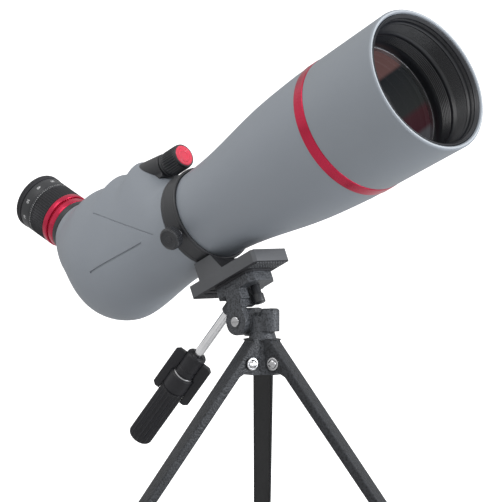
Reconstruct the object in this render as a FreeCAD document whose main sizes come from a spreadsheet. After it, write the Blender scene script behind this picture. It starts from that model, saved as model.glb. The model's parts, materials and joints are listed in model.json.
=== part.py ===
"""Spotting scope on a tabletop tripod, as an assembly of separate solids.

World frame: millimetres, +Z up, +X the way the scope looks, origin on the pan axis at the flat
underside of the tripod hub.  The scope stands nose-up by scope_tilt.

Working frames, each a Placement that carries local axes to the world:
    scope     local X along the optical axis towards the objective, Z up off the tube, origin at the
              middle of the clamp collar
    eyepiece  local X along the eyepiece axis, origin where it meets the optical axis
    focus     local X along the focus shaft, towards the objective
    thumb     local X out along the collar's thumb screw
    handle    local X down the pan handle, origin at the end of its boss
    leg       local X down the leg, Z outward, origin on the leg's pivot
"""

import FreeCAD, Part
import math
import os

import Sketcher
from FreeCAD import Placement, Rotation, Vector

SIZES = {
    # Scope frame: where the clamp collar's middle stands, and how far the nose points up.
    "scope_x": -50.0,
    "scope_z": 107.2,
    "scope_tilt": 24.11,
    # Tube, with stations along the optical axis.
    "tube_back": -12.6,
    "tube_radius": 32.4,
    "tube_bore": 30.0,
    "tube_wall": 2.2,
    "tube_front": 141.2,
    "trim_front": 149.75,
    "trim_radius": 48.25,
    "rim_front": 217.2,
    "rim_radius": 50.0,
    "hood_root_radius": 47.95,
    "hood_bore": 47.0,
    "cell_back": 134.0,
    "cell_front": 180.0,
    "cell_radius": 45.4,
    "cell_bore": 41.6,
    "clear_aperture": 40.0,
    "sleeve_front": 216.4,
    "sleeve_radius": 46.6,
    "sleeve_mouth": 44.2,
    "sleeve_step": 209.5,
    "seal_station": 170.0,
    "seal_wide": 2.0,
    "seal_deep": 1.2,
    "retainer_long": 3.0,
    "flint_back": 158.0,
    "flint_edge": 5.0,
    "flint_curve": 140.0,
    "spacer_long": 0.8,
    "crown_curve": 150.0,
    "crown_recess": 0.47,
    # Prism housing.
    "housing_wall": 2.5,
    "joint_bore_long": 6.0,
    "joint_cap_thick": 3.0,
    "neck_bore_long": 10.0,
    "branch_cap_thick": 5.0,
    "branch_cap_sunk": 4.5,
    "bend_pivot_s": -42.0,
    "bend_pivot_n": 116.06,
    "prism_front": -66.0,
    "prism_back": -104.0,
    "prism_half_width": 15.0,
    "prism_low": -19.0,
    "prism_high": 22.0,
    "mount_thick": 2.0,
    "mount_front": -60.0,
    "mount_radius": 27.5,
    "mount_window": 14.0,
    # Eyepiece, with stations along its own axis.
    "eyepiece_cross": -88.45,
    "eyepiece_bend": 130.75,
    "branch_end": 57.62,
    "barrel_start": 47.6,
    "barrel_end": 97.2,
    "barrel_radius": 16.5,
    "barrel_bore": 14.5,
    "base_collar_end": 63.4,
    "base_collar_radius": 19.0,
    "red_band_end": 68.4,
    "red_band_radius": 19.0,
    "red_groove_end": 69.4,
    "red_groove_radius": 18.2,
    "red_flange_end": 74.0,
    "red_flange_radius": 19.9,
    "zoom_ring_end": 87.4,
    "zoom_ring_radius": 19.9,
    "band_end": 99.2,
    "band_radius": 19.9,
    "band_bore": 18.4,
    "band_floor": 2.0,
    "cup_end": 104.9,
    "cup_radius": 20.2,
    "cup_mouth": 13.0,
    "cup_sleeve_start": 91.0,
    "eye_lens_start": 89.6,
    "eye_lens_long": 5.0,
    "zoom_lens_start": 64.0,
    "zoom_lens_long": 5.0,
    "field_lens_start": 53.0,
    "field_lens_long": 3.5,
    "lens_ring_wide": 2.2,
    "slide_gap": 0.05,
    "face_gap": 0.1,
    # Focus group, with stations along the optical axis.
    "focus_high": 47.0,
    "focus_cap_face": -6.5,
    "focus_cap_radius": 8.2,
    "focus_cap_thick": 1.6,
    "focus_knob_back": -24.3,
    "focus_knob_radius": 9.0,
    "focus_shaft_radius": 2.5,
    "focus_shaft_back": -58.0,
    "saddle_back": -46.0,
    "saddle_front": -24.4,
    "saddle_radius": 11.5,
    "saddle_half_width": 13.0,
    "carriage_back": -54.0,
    "carriage_long": 6.0,
    "focusing_lens_radius": 20.0,
    "carriage_ring_radius": 22.5,
    "carriage_arm_half": 4.0,
    "guide_rod_radius": 1.5,
    "guide_rod_low": 25.2,
    "guide_rod_front": -44.0,
    # Clamp collar and its thumb screw.
    "collar_back": -12.0,
    "collar_front": 2.6,
    "collar_radius": 35.6,
    "thumb_turn": 21.4,
    "thumb_station": -3.0,
    "thumb_shaft_radius": 3.0,
    "thumb_shaft_inner": 34.3,
    "thumb_knob_inner": 39.6,
    "thumb_knob_outer": 47.2,
    "thumb_knob_radius": 7.8,
    # Mounting foot of the scope.
    "foot_half_width": 16.85,
    "foot_back": -24.6,
    "foot_front": 42.2,
    "foot_top": 43.58,
    "foot_thick": 8.56,
    "foot_corner": 2.0,
    "foot_slot_count": 9,
    "foot_slot_first": 8.0,
    "foot_slot_pitch": 5.8,
    "foot_slot_wide": 2.4,
    "foot_slot_deep": 1.2,
    "foot_slot_edge": 4.0,
    "foot_camera_deep": 6.2,
    "foot_slot_clear": 6.5,
    "pedestal_back": -12.5,
    "pedestal_front": 11.0,
    "pedestal_front_top": 3.4,
    "foot_screw_back": -8.6,
    "foot_screw_front": -1.6,
    "foot_screw_radius": 1.6,
    "foot_screw_head": 2.8,
    "foot_screw_head_long": 1.2,
    "foot_screw_long": 12.0,
    "foot_screw_sunk": 0.4,
    # Tilting platform.
    "pad_thick": 1.9,
    "platform_back": -8.0,
    "platform_front": 29.7,
    "platform_half_width": 12.5,
    "platform_thick": 7.0,
    "platform_corner": 4.0,
    "tilt_axis_s": 5.3,
    "tilt_axis_n": -81.0,
    "ear_radius": 9.3,
    "ear_inner": 8.6,
    "ear_outer": 13.6,
    "arm_far_side": 0.5,
    "neck_back": 3.2,
    "neck_front": 14.6,
    "ear_waist": 15.4,
    "barrel_gap": 1.4,
    "boss_end_s": -15.0,
    "boss_end_n": -69.1,
    "boss_radius": 5.0,
    "boss_start": -4.0,
    "boss_long": 16.0,
    "handle_drop": 21.36,
    "camera_screw_s": 19.4,
    "camera_screw_radius": 3.125,
    "camera_hole_radius": 3.175,
    "camera_screw_top": -46.2,
    "camera_wheel_top": -67.4,
    "camera_wheel_low": -73.4,
    "camera_wheel_radius": 4.0,
    "tilt_screw_radius": 2.4,
    "tilt_screw_head": 3.4,
    "tilt_screw_head_long": 1.0,
    "tilt_nut_long": 3.0,
    "tilt_nut_across": 8.0,
    # Pan head casting, in the world frame.
    "barrel_x": -12.08,
    "barrel_z": 35.43,
    "barrel_r": 9.1,
    "barrel_half": 8.5,
    "pan_boss_x": 7.0,
    "pan_boss_radius": 6.4,
    "pan_boss_edge": 1.2,
    "pan_boss_low": 29.2,
    "pan_boss_high": 44.6,
    "head_low": 23.2,
    "head_neck_radius": 8.2,
    "head_web_half": 5.2,
    "pan_stud_radius": 2.2,
    "pan_stud_low": 9.0,
    "pan_stud_high": 36.0,
    "pan_nut_low": 30.0,
    "pan_nut_long": 4.0,
    "pan_nut_across": 7.0,
    "pan_pocket_radius": 4.7,
    "pan_washer_thick": 1.0,
    # Hub and legs.
    "hub_radius": 7.6,
    "lug_half": 5.8,
    "lug_high": 13.4,
    "leg_turn": 14.7,
    "leg_spread": 38.0,
    "pivot_out": 12.0,
    "pivot_high": 7.6,
    "lug_round": 5.4,
    "leg_screw_radius": 2.0,
    "leg_screw_head": 3.6,
    "leg_screw_head_long": 2.0,
    "leg_nut_long": 2.4,
    "leg_nut_across": 6.4,
    "leg_top": -10.8,
    "leg_end": 193.0,
    "web_out": 7.9,
    "leg_sheet": 1.25,
    "flange_deep": 6.0,
    "leg_half_top": 7.25,
    "leg_half_end": 5.6,
    "taper_start": 12.5,
    "gusset_reach": 5.8,
    "gusset_end": 12.4,
    "gusset_toe": 4.0,
    "gusset_top": 15.4,
    "gusset_slope": 5.0,
    "ground": -147.0,
    "tip_start": 181.0,
    "tip_wall": 1.6,
    # Pan handle, with stations along the handle.
    "rod_radius": 3.25,
    "rod_in_boss": -11.0,
    "handle_bore_end": 58.0,
    "prong_start": 37.0,
    "prong_off": 4.2,
    "prong_radius": 1.9,
    "socket_start": 38.0,
    "socket_end": 56.0,
    "socket_radius": 7.1,
    "ferrule_end": 57.2,
    "ferrule_radius": 7.9,
    "sleeve_end": 70.0,
    "handle_sleeve_radius": 8.9,
    "grip_end": 121.5,
    "grip_radius": 8.8,
    "grip_round": 3.0,
    "wing_start": 42.0,
    "wing_end": 77.6,
    "wing_half": 14.6,
    "wing_half_thick": 2.0,
    "wing_corner": 2.4,
    "wing_lean": 57.3,
}

# Outside radius of the tube at stations along the optical axis: a slow flare to the objective.
TUBE_FLARE = [
    (-12.6, 32.4), (10.0, 32.4), (26.0, 33.9), (47.8, 37.1), (71.7, 41.3),
    (95.6, 44.6), (119.5, 46.7), (141.2, 47.7),
]

# Prism housing sections on planes that fan out from the bend pivot.  Each row is the plane's
# angle, then distances from the pivot to the top, to the widest level and to the bottom, then
# the half width.
HOUSING_FAN = [
    (0.0, 59.2, 116.06, 148.86, 33.4),
    (10.0, 58.7, 119.5, 153.8, 35.3),
    (20.0, 61.9, 123.0, 163.3, 37.0),
    (29.0, 67.0, 122.0, 161.7, 36.6),
    (36.5, 72.5, 117.0, 150.9, 32.6),
    (43.0, 79.4, 112.6, 143.2, 26.0),
    (49.25, 90.65, 110.95, 131.25, 20.3),
]

# Sections ahead of the fan, square to the optical axis: station, top, bottom, half width.
HOUSING_FRONT = [
    (-12.6, 33.4, 33.4, 33.4),
    (-20.0, 34.2, 33.2, 33.3),
    (-24.6, 37.0, 33.0, 33.2),
    (-30.0, 44.0, 32.9, 33.2),
    (-36.5, 51.8, 32.8, 33.3),
]

# The sections' upper halves are superellipses: 2 is an ellipse, and less is more like a roof.
ROOF_POWER = 1.75
ROOF_RUN = 24.0

LEG_NAMES = ("right", "rear", "left")

doc = FreeCAD.newDocument("spotting_scope")
sheet = doc.addObject("Spreadsheet::Sheet", "dims")
for row, (alias, number) in enumerate(SIZES.items(), start=1):
    sheet.set("A%d" % row, alias)
    sheet.set("B%d" % row, str(number))
    sheet.setAlias("B%d" % row, alias)
doc.recompute()

nodes = {}


# ---------------------------------------------------------------------------------------------
# Expressions, placements and basic shapes
# ---------------------------------------------------------------------------------------------

def size(text):
    """Number that an expression of sheet sizes stands for, such as "foot_top + foot_thick / 2"."""
    total = 0.0
    for term in text.replace(" - ", " + -1 * ").split(" + "):
        product = 1.0
        dividing = False
        for word in term.split():
            if word in ("*", "/"):
                dividing = word == "/"
                continue
            number = sheet.get(word) if word in SIZES else float(word)
            product = product / number if dividing else product * number
            dividing = False
        total += product
    return total


def bound(text):
    """The same expression in FreeCAD's form, with each size read from the sheet."""
    return " ".join("dims." + word if word in SIZES else word for word in text.split())


def bind(item, **expressions):
    """Bind properties of an object to sheet expressions."""
    for name, text in expressions.items():
        item.setExpression(name, bound(text))
    return item


def place_at(item, x="0", y="0", z="0"):
    """Bind an object's position to sheet expressions."""
    for axis, text in zip("xyz", (x, y, z)):
        item.setExpression("Placement.Base." + axis, bound(text))
    return item


def stand_at(item, placement):
    """Give a primitive a fixed placement in place of a position bound to the sheet."""
    for axis in "xyz":
        item.setExpression("Placement.Base." + axis, None)
    item.Placement = placement
    return item


def cylinder(name, radius, length, x="0", y="0", z="0", along="X"):
    """Part::Cylinder that starts at a point and runs along a local axis."""
    item = doc.addObject("Part::Cylinder", name)
    turns = {
        "X": Rotation(Vector(0, 1, 0), 90),
        "Y": Rotation(Vector(1, 0, 0), -90),
        "Z": Rotation(),
    }
    item.Placement = Placement(Vector(), turns[along])
    bind(item, Radius=radius, Height=length)
    return place_at(item, x, y, z)


def box(name, low, high):
    """Part::Box between two corners, each three sheet expressions."""
    item = doc.addObject("Part::Box", name)
    for bottom, top, prop in zip(low, high, ("Length", "Width", "Height")):
        item.setExpression(prop, "(%s) - (%s)" % (bound(top), bound(bottom)))
    return place_at(item, *low)


def cut(name, base, tool):
    """Part::Cut of one shape by another."""
    item = doc.addObject("Part::Cut", name)
    item.Base = base
    item.Tool = tool
    return item


def fuse(name, *pieces):
    """Part::MultiFuse of several shapes."""
    item = doc.addObject("Part::MultiFuse", name)
    item.Shapes = list(pieces)
    item.Refine = True
    return item


def group(name, *pieces):
    """Part::Compound of separate solids that share one node."""
    item = doc.addObject("Part::Compound", name)
    item.Links = list(pieces)
    return item


def common(name, *pieces):
    """Part::MultiCommon of several shapes."""
    item = doc.addObject("Part::MultiCommon", name)
    item.Shapes = list(pieces)
    return item


def plane_of(body, role):
    """Origin plane of a body, found by its role."""
    for feature in body.Origin.OriginFeatures:
        if feature.Role == role:
            return feature
    raise ValueError("no plane " + role)


def outline_sketch(body, name, outline, plane):
    """Closed polygon sketch whose every corner is bound to sheet expressions."""
    sketch = body.newObject("Sketcher::SketchObject", name)
    sketch.AttachmentSupport = [(plane_of(body, plane), "")]
    sketch.MapMode = "FlatFace"
    corners = [Vector(size(across), size(up), 0) for across, up in outline]
    count = len(corners)
    for i in range(count):
        sketch.addGeometry(Part.LineSegment(corners[i], corners[(i + 1) % count]), False)
    for i in range(count):
        sketch.addConstraint(Sketcher.Constraint("Coincident", i, 2, (i + 1) % count, 1))
    for i, (across, up) in enumerate(outline):
        for kind, text in (("DistanceX", across), ("DistanceY", up)):
            number = size(text)
            index = sketch.addConstraint(Sketcher.Constraint(kind, -1, 1, i, 1, number))
            sketch.setExpression("Constraints[%d]" % index, bound(text))
    return sketch


def lathe(name, outline):
    """PartDesign body turned about its local X axis from (along, radius) corners."""
    body = doc.addObject("PartDesign::Body", name)
    sketch = outline_sketch(body, name + "_profile", outline, "XZ_Plane")
    turn = body.newObject("PartDesign::Revolution", name + "_turn")
    turn.Profile = sketch
    turn.ReferenceAxis = (sketch, ["H_Axis"])
    turn.Angle = 360.0
    body.Tip = turn
    return body


def slab(name, outline, half_width):
    """PartDesign body padded from an (X, Z) outline, evenly to both sides of Y = 0."""
    body = doc.addObject("PartDesign::Body", name)
    sketch = outline_sketch(body, name + "_profile", outline, "XZ_Plane")
    sketch.setExpression("AttachmentOffset.Base.z", bound("-1 * " + half_width))
    pad = body.newObject("PartDesign::Pad", name + "_pad")
    pad.Profile = sketch
    pad.setExpression("Length", bound("2 * " + half_width))
    body.Tip = pad
    return body


def sheet_slab(name, outline, low, high):
    """PartDesign body padded from an (X, Y) outline between two levels of Z."""
    body = doc.addObject("PartDesign::Body", name)
    sketch = outline_sketch(body, name + "_profile", outline, "XY_Plane")
    sketch.setExpression("AttachmentOffset.Base.z", bound(low))
    pad = body.newObject("PartDesign::Pad", name + "_pad")
    pad.Profile = sketch
    pad.setExpression("Length", "(%s) - (%s)" % (bound(high), bound(low)))
    body.Tip = pad
    return body


def clipped_corners(back, front, half, corner):
    """Rectangle outline with its four corners cut off at 45 degrees."""
    minus = "-1 * "
    return [
        (back + " + " + corner, minus + half),
        (front + " - " + corner, minus + half),
        (front, minus + half + " + " + corner),
        (front, half + " - " + corner),
        (front + " - " + corner, half),
        (back + " + " + corner, half),
        (back, half + " - " + corner),
        (back, minus + half + " + " + corner),
    ]


def ring(back, front, inner, outer):
    """Lathe outline of a plain ring."""
    return [(back, inner), (back, outer), (front, outer), (front, inner)]


def disc(back, front, outer):
    """Lathe outline of a plain disc."""
    return [(back, "0"), (back, outer), (front, outer), (front, "0")]


def hexagon(name, across, length, x="0", y="0", z="0", along="Z"):
    """Hexagonal prism with a given width across its flats."""
    item = doc.addObject("Part::Prism", name)
    item.Polygon = 6
    turns = {
        "Y": Rotation(Vector(1, 0, 0), -90),
        "Z": Rotation(),
    }
    item.Placement = Placement(Vector(), turns[along])
    item.setExpression("Circumradius", bound(across) + " / 2 / cos(30)")
    item.setExpression("Height", bound(length))
    return place_at(item, x, y, z)


def keep(label, item, frame):
    """Give a finished piece its node name and carry it into the world."""
    item.Label = label
    item.Placement = frame.multiply(item.Placement)
    nodes[label] = item
    return item


def feature(name, shape):
    """Part::Feature that holds a shape made from sheet sizes."""
    item = doc.addObject("Part::Feature", name)
    item.Shape = shape
    return item


# ---------------------------------------------------------------------------------------------
# Frames
# ---------------------------------------------------------------------------------------------

UP = Vector(0, 0, 1)
SIDE = Vector(0, 1, 0)
AHEAD = Vector(1, 0, 0)
ALONG_X = Rotation(SIDE, 90)

world = Placement()
scope = Placement(
    Vector(size("scope_x"), 0, size("scope_z")),
    Rotation(SIDE, -size("scope_tilt")),
)
eyepiece = scope.multiply(Placement(
    Vector(size("eyepiece_cross"), 0, 0),
    Rotation(SIDE, -size("eyepiece_bend")),
))
focus = scope.multiply(Placement(Vector(0, 0, size("focus_high")), Rotation()))
thumb = scope.multiply(Placement(
    Vector(size("thumb_station"), 0, 0),
    Rotation(AHEAD, size("thumb_turn")).multiply(Rotation(UP, -90)),
))
handle = scope.multiply(Placement(
    Vector(size("boss_end_s"), 0, size("boss_end_n")),
    Rotation(SIDE, 180.0 - size("handle_drop")).multiply(Rotation(AHEAD, size("wing_lean"))),
))


def leg_frame(number):
    """Frame of one leg: local X runs down the leg and local Z points outward from it."""
    heading = Rotation(UP, size("leg_turn") + 120.0 * number)
    spread = Rotation(SIDE, 90.0 - size("leg_spread"))
    out = heading.multVec(Vector(size("pivot_out"), 0, size("pivot_high")))
    return Placement(out, heading.multiply(spread))


# ---------------------------------------------------------------------------------------------
# Tube and objective
# ---------------------------------------------------------------------------------------------

def flare_loft(body, kind, name, stations):
    """Smooth loft through circles square to local X, added to or taken from a body."""
    sketches = []
    for number, (station, radius) in enumerate(stations):
        sketch = body.newObject("Sketcher::SketchObject", "%s_%d" % (name, number))
        sketch.AttachmentSupport = [(plane_of(body, "YZ_Plane"), "")]
        sketch.MapMode = "FlatFace"
        sketch.AttachmentOffset = Placement(Vector(0, 0, station), Rotation())
        sketch.addGeometry(Part.Circle(Vector(), UP, radius), False)
        sketch.addConstraint(Sketcher.Constraint("Coincident", 0, 3, -1, 1))
        sketch.addConstraint(Sketcher.Constraint("Radius", 0, radius))
        sketches.append(sketch)
    loft = body.newObject(kind, name)
    loft.Profile = sketches[0]
    loft.Sections = sketches[1:]
    body.Tip = loft
    return sketches


def make_main_tube():
    body = doc.addObject("PartDesign::Body", "main_tube_body")
    flare_loft(body, "PartDesign::AdditiveLoft", "tube_skin", TUBE_FLARE)
    doc.recompute()
    wall = size("tube_wall")
    inner = [(station, max(radius - wall, size("tube_bore"))) for station, radius in TUBE_FLARE]
    flare_loft(body, "PartDesign::SubtractiveLoft", "tube_inside", inner)
    seat = cylinder("cell_seat", "cell_radius", "tube_front - cell_back", x="cell_back")
    keep("main_tube", cut("main_tube_cut", body, seat), scope)


def make_front_barrel():
    outline = [
        ("trim_front", "cell_radius"),
        ("trim_front", "hood_root_radius"),
        ("rim_front - 48", "hood_root_radius + 0.6"),
        ("rim_front - 1.2", "rim_radius"),
        ("rim_front", "rim_radius - 0.8"),
        ("rim_front", "hood_bore"),
        ("cell_front", "hood_bore"),
        ("cell_front", "cell_radius"),
    ]
    keep("front_barrel", lathe("front_barrel_body", outline), scope)
    keep("red_trim_ring", lathe("trim_body", ring(
        "tube_front", "trim_front", "cell_radius", "trim_radius")), scope)
    sleeve = [
        ("cell_front", "clear_aperture + 0.6"),
        ("cell_front", "hood_bore"),
        ("cell_front + 6", "hood_bore"),
        ("cell_front + 6", "sleeve_radius"),
        ("sleeve_front", "sleeve_radius"),
        ("sleeve_front", "sleeve_radius - 0.6"),
        ("sleeve_front - 1.6", "sleeve_mouth"),
        ("sleeve_step", "sleeve_mouth"),
        ("sleeve_step", "sleeve_mouth - 1.2"),
        ("cell_front + 4", "clear_aperture + 0.6"),
    ]
    keep("front_baffle", lathe("baffle_body", sleeve), scope)


def make_lens_cell():
    outline = [
        ("cell_back", "clear_aperture"),
        ("cell_back", "cell_radius"),
        ("seal_station", "cell_radius"),
        ("seal_station", "cell_radius - seal_deep"),
        ("seal_station + seal_wide", "cell_radius - seal_deep"),
        ("seal_station + seal_wide", "cell_radius"),
        ("cell_front", "cell_radius"),
        ("cell_front", "cell_bore"),
        ("flint_back", "cell_bore"),
        ("flint_back", "clear_aperture"),
    ]
    keep("lens_cell", lathe("cell_body", outline), scope)
    keep("objective_seal", lathe("seal_body", ring(
        "seal_station", "seal_station + seal_wide", "cell_radius - seal_deep", "cell_radius")), scope)
    keep("lens_retaining_ring", lathe("retainer_body", ring(
        "cell_front - retainer_long", "cell_front", "clear_aperture", "cell_bore")), scope)
    spacer = "flint_back + flint_edge"
    keep("lens_spacer", lathe("spacer_body", ring(
        spacer, spacer + " + spacer_long", "clear_aperture", "cell_bore")), scope)


def sphere(name, radius, x):
    """Part::Sphere on the local X axis."""
    item = doc.addObject("Part::Sphere", name)
    bind(item, Radius=radius)
    return place_at(item, x=x)


def lens_sag(curve, edge):
    """Height of a spherical cap with a given edge radius."""
    return curve - math.sqrt(curve * curve - edge * edge)


def lens(label, start, length, radius, curve, frame, hollow=False):
    """Lens with a plane back and a curved front, bulging out or dished in."""
    sag = lens_sag(size(curve), size(radius))
    end = start + " + " + length
    if hollow:
        edge = cylinder(label + "_edge", radius, length, x=start)
        ball = sphere(label + "_ball", curve, end + " + %s - %.4f" % (curve, sag * 0.8))
        return keep(label, cut(label + "_cut", edge, ball), frame)
    blank = cylinder(label + "_blank", radius, "%s + %.4f" % (length, sag), x=start)
    ball = sphere(label + "_ball", curve, end + " + %.4f - %s" % (sag, curve))
    return keep(label, common(label + "_common", blank, ball), frame)


def make_objective_lenses():
    lens("objective_flint_lens", "flint_back", "flint_edge", "cell_bore", "flint_curve", scope, True)
    crown_start = "flint_back + flint_edge + spacer_long"
    crown_long = "cell_front - retainer_long - crown_recess - flint_back - flint_edge - spacer_long"
    lens("objective_crown_lens", crown_start, crown_long, "cell_bore", "crown_curve", scope)


# ---------------------------------------------------------------------------------------------
# Prism housing
# ---------------------------------------------------------------------------------------------

def rounded_section(top, middle, bottom, half, square):
    """Points of a closed section: round below its widest level, more like a roof above it."""
    points = []
    steps = 32
    for number in range(steps):
        angle = 2 * math.pi * number / steps
        across = math.cos(angle)
        up = math.sin(angle)
        power = square if up > 0 else 2.0
        reach = (abs(across) ** power + abs(up) ** power) ** (-1.0 / power)
        level = (top - middle) if up > 0 else (middle - bottom)
        points.append((half * across * reach, middle + level * up * reach))
    return points


def section_wire(points, to_space):
    """Closed smooth wire through section points, carried into space."""
    curve = Part.BSplineCurve()
    curve.interpolate([to_space(across, up) for across, up in points], True)
    return Part.Wire([curve.toShape()])


def housing_sections(inset):
    """Section wires of the prism housing, from the tube joint round to the eyepiece branch."""
    wires = []
    for station, top, bottom, half in HOUSING_FRONT:
        square = 2.0 - (2.0 - ROOF_POWER) * min(1.0, (size("tube_back") - station) / ROOF_RUN)
        points = rounded_section(top - inset, 0.0, inset - bottom, half - inset, square)
        wires.append(section_wire(points, lambda y, n, s=station: Vector(s, y, n)))
    pivot_s = size("bend_pivot_s")
    pivot_n = size("bend_pivot_n")
    for angle, top, middle, bottom, half in HOUSING_FAN:
        turn = math.radians(angle)
        square = ROOF_POWER + (2.0 - ROOF_POWER) * (angle / HOUSING_FAN[-1][0]) ** 2
        points = rounded_section(-top - inset, -middle, -bottom + inset, half - inset, square)
        wires.append(section_wire(points, lambda y, r, a=turn: Vector(
            pivot_s + r * math.sin(a), y, pivot_n + r * math.cos(a))))
    return wires


def housing_solid(inset):
    """Smooth solid through the housing's sections, shrunk evenly by an inset."""
    return Part.makeLoft(housing_sections(inset), True, False)


def make_prism_housing():
    outer = housing_solid(0.0)
    inner = housing_solid(size("housing_wall"))
    back = size("tube_back")
    bore_long = size("joint_bore_long")
    joint_bore = Part.makeCylinder(
        size("tube_bore"), bore_long, Vector(back - bore_long + 1.0, 0, 0), AHEAD)
    bend = math.radians(size("eyepiece_bend"))
    axis = Vector(math.cos(bend), 0, math.sin(bend))
    cross = Vector(size("eyepiece_cross"), 0, 0)
    neck_long = size("neck_bore_long")
    neck = Part.makeCylinder(
        size("barrel_radius"), neck_long + 1.0, cross + axis * (size("branch_end") - neck_long), axis)
    cap = size("joint_cap_thick")
    wide = 2 * size("rim_radius")
    front_cap = Part.makeBox(
        cap, wide, wide, Vector(back - cap, -wide / 2, -wide / 2))
    branch_cap = Part.makeCylinder(
        wide / 2, size("branch_cap_thick"),
        cross + axis * (size("branch_end") - size("branch_cap_sunk")), axis)
    cavity = inner.cut(front_cap).cut(branch_cap).fuse([joint_bore, neck])
    shaft = Part.makeCylinder(
        size("focus_shaft_radius + slide_gap"), size("saddle_front - saddle_back"),
        Vector(size("saddle_back") - 2.0, 0, size("focus_high")), AHEAD)
    shell = outer.cut(cavity).cut(shaft)
    keep("prism_housing", feature("prism_housing_shell", shell), scope)


def make_prism_group():
    outline = [
        ("prism_front", "prism_low"),
        ("prism_back + 12", "prism_low"),
        ("prism_back", "prism_low + 14"),
        ("prism_back", "prism_high - 10"),
        ("prism_back + 14", "prism_high + 4"),
        ("prism_front", "prism_high - 4"),
    ]
    keep("erecting_prism", slab("prism_body", outline, "prism_half_width"), scope)
    plate = cylinder("mount_disc", "mount_radius", "mount_thick", x="mount_front - mount_thick")
    shelf = box(
        "mount_shelf",
        ("prism_back + 14", "-1 * prism_half_width", "prism_low - mount_thick"),
        ("mount_front - mount_thick", "prism_half_width", "prism_low"),
    )
    window = cylinder("mount_window", "mount_window", "4 * mount_thick", x="mount_front - 3 * mount_thick")
    socket = cylinder(
        "mount_socket", "guide_rod_radius", "4 * mount_thick",
        x="mount_front - 3 * mount_thick", z="-1 * guide_rod_low")
    solid = fuse("mount_fuse", plate, shelf)
    holes = fuse("mount_holes", window, socket)
    keep("prism_mount", cut("prism_mount_cut", solid, holes), scope)
    low = scope.multiply(Placement(Vector(0, 0, -size("guide_rod_low")), Rotation()))
    rod = disc("mount_front - mount_thick", "guide_rod_front", "guide_rod_radius")
    keep("focus_guide_rod", lathe("guide_rod_body", rod), low)


# ---------------------------------------------------------------------------------------------
# Focus
# ---------------------------------------------------------------------------------------------

def make_focus_group():
    drum = cylinder("saddle_drum", "saddle_radius", "saddle_front - saddle_back", x="saddle_back",
                    z="focus_high")
    skirt = box(
        "saddle_skirt",
        ("saddle_back", "-1 * saddle_half_width", "tube_radius"),
        ("saddle_front", "saddle_half_width", "focus_high"),
    )
    solid = fuse("saddle_fuse", drum, skirt)
    bore = cylinder("saddle_bore", "focus_shaft_radius + slide_gap", "saddle_front - saddle_back",
                    x="saddle_back", z="focus_high")
    drilled = cut("saddle_drilled", solid, bore)
    body_form = feature("housing_form", housing_solid(0.0))
    keep("focus_housing", cut("focus_housing_cut", drilled, body_form), scope)
    knob = [
        ("focus_knob_back", "focus_shaft_radius"),
        ("focus_knob_back", "focus_knob_radius - 1"),
        ("focus_knob_back + 1", "focus_knob_radius"),
        ("focus_cap_face - focus_cap_thick - 0.6", "focus_knob_radius"),
        ("focus_cap_face - focus_cap_thick", "focus_knob_radius - 0.6"),
        ("focus_cap_face - focus_cap_thick", "focus_shaft_radius"),
    ]
    keep("focus_knob", lathe("focus_knob_body", knob), focus)
    cap = [
        ("focus_cap_face - focus_cap_thick", "0"),
        ("focus_cap_face - focus_cap_thick", "focus_cap_radius"),
        ("focus_cap_face - 0.4", "focus_cap_radius"),
        ("focus_cap_face", "focus_cap_radius - 0.4"),
        ("focus_cap_face", "0"),
    ]
    keep("focus_knob_cap", lathe("focus_cap_body", cap), focus)
    shaft = disc("focus_shaft_back", "focus_cap_face - focus_cap_thick", "focus_shaft_radius")
    keep("focus_shaft", lathe("focus_shaft_body", shaft), focus)


def make_focus_carriage():
    back = "carriage_back"
    ring_part = cylinder("carriage_ring", "carriage_ring_radius", "carriage_long", x=back)
    arm = box(
        "carriage_arm",
        (back, "-1 * carriage_arm_half", "focusing_lens_radius"),
        (back + " + carriage_long", "carriage_arm_half", "focus_high"),
    )
    nut = cylinder("carriage_nut", "carriage_arm_half + 0.6", "carriage_long", x=back, z="focus_high")
    lug = box(
        "carriage_lug",
        (back, "-1 * carriage_arm_half", "-1 * guide_rod_low - 2.6"),
        (back + " + carriage_long", "carriage_arm_half", "-1 * focusing_lens_radius"),
    )
    solid = fuse("carriage_solid", ring_part, arm, nut, lug)
    lens_hole = cylinder("carriage_lens_hole", "focusing_lens_radius", "carriage_long", x=back)
    thread = cylinder("carriage_thread", "focus_shaft_radius + slide_gap", "carriage_long", x=back,
                      z="focus_high")
    guide = cylinder("carriage_guide", "guide_rod_radius + slide_gap", "carriage_long", x=back,
                     z="-1 * guide_rod_low")
    holes = fuse("carriage_holes", lens_hole, thread, guide)
    keep("focus_carriage", cut("focus_carriage_cut", solid, holes), scope)
    lens("focusing_lens", back + " + 1", "carriage_long - 2", "focusing_lens_radius",
         "flint_curve", scope, True)


# ---------------------------------------------------------------------------------------------
# Eyepiece
# ---------------------------------------------------------------------------------------------

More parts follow.
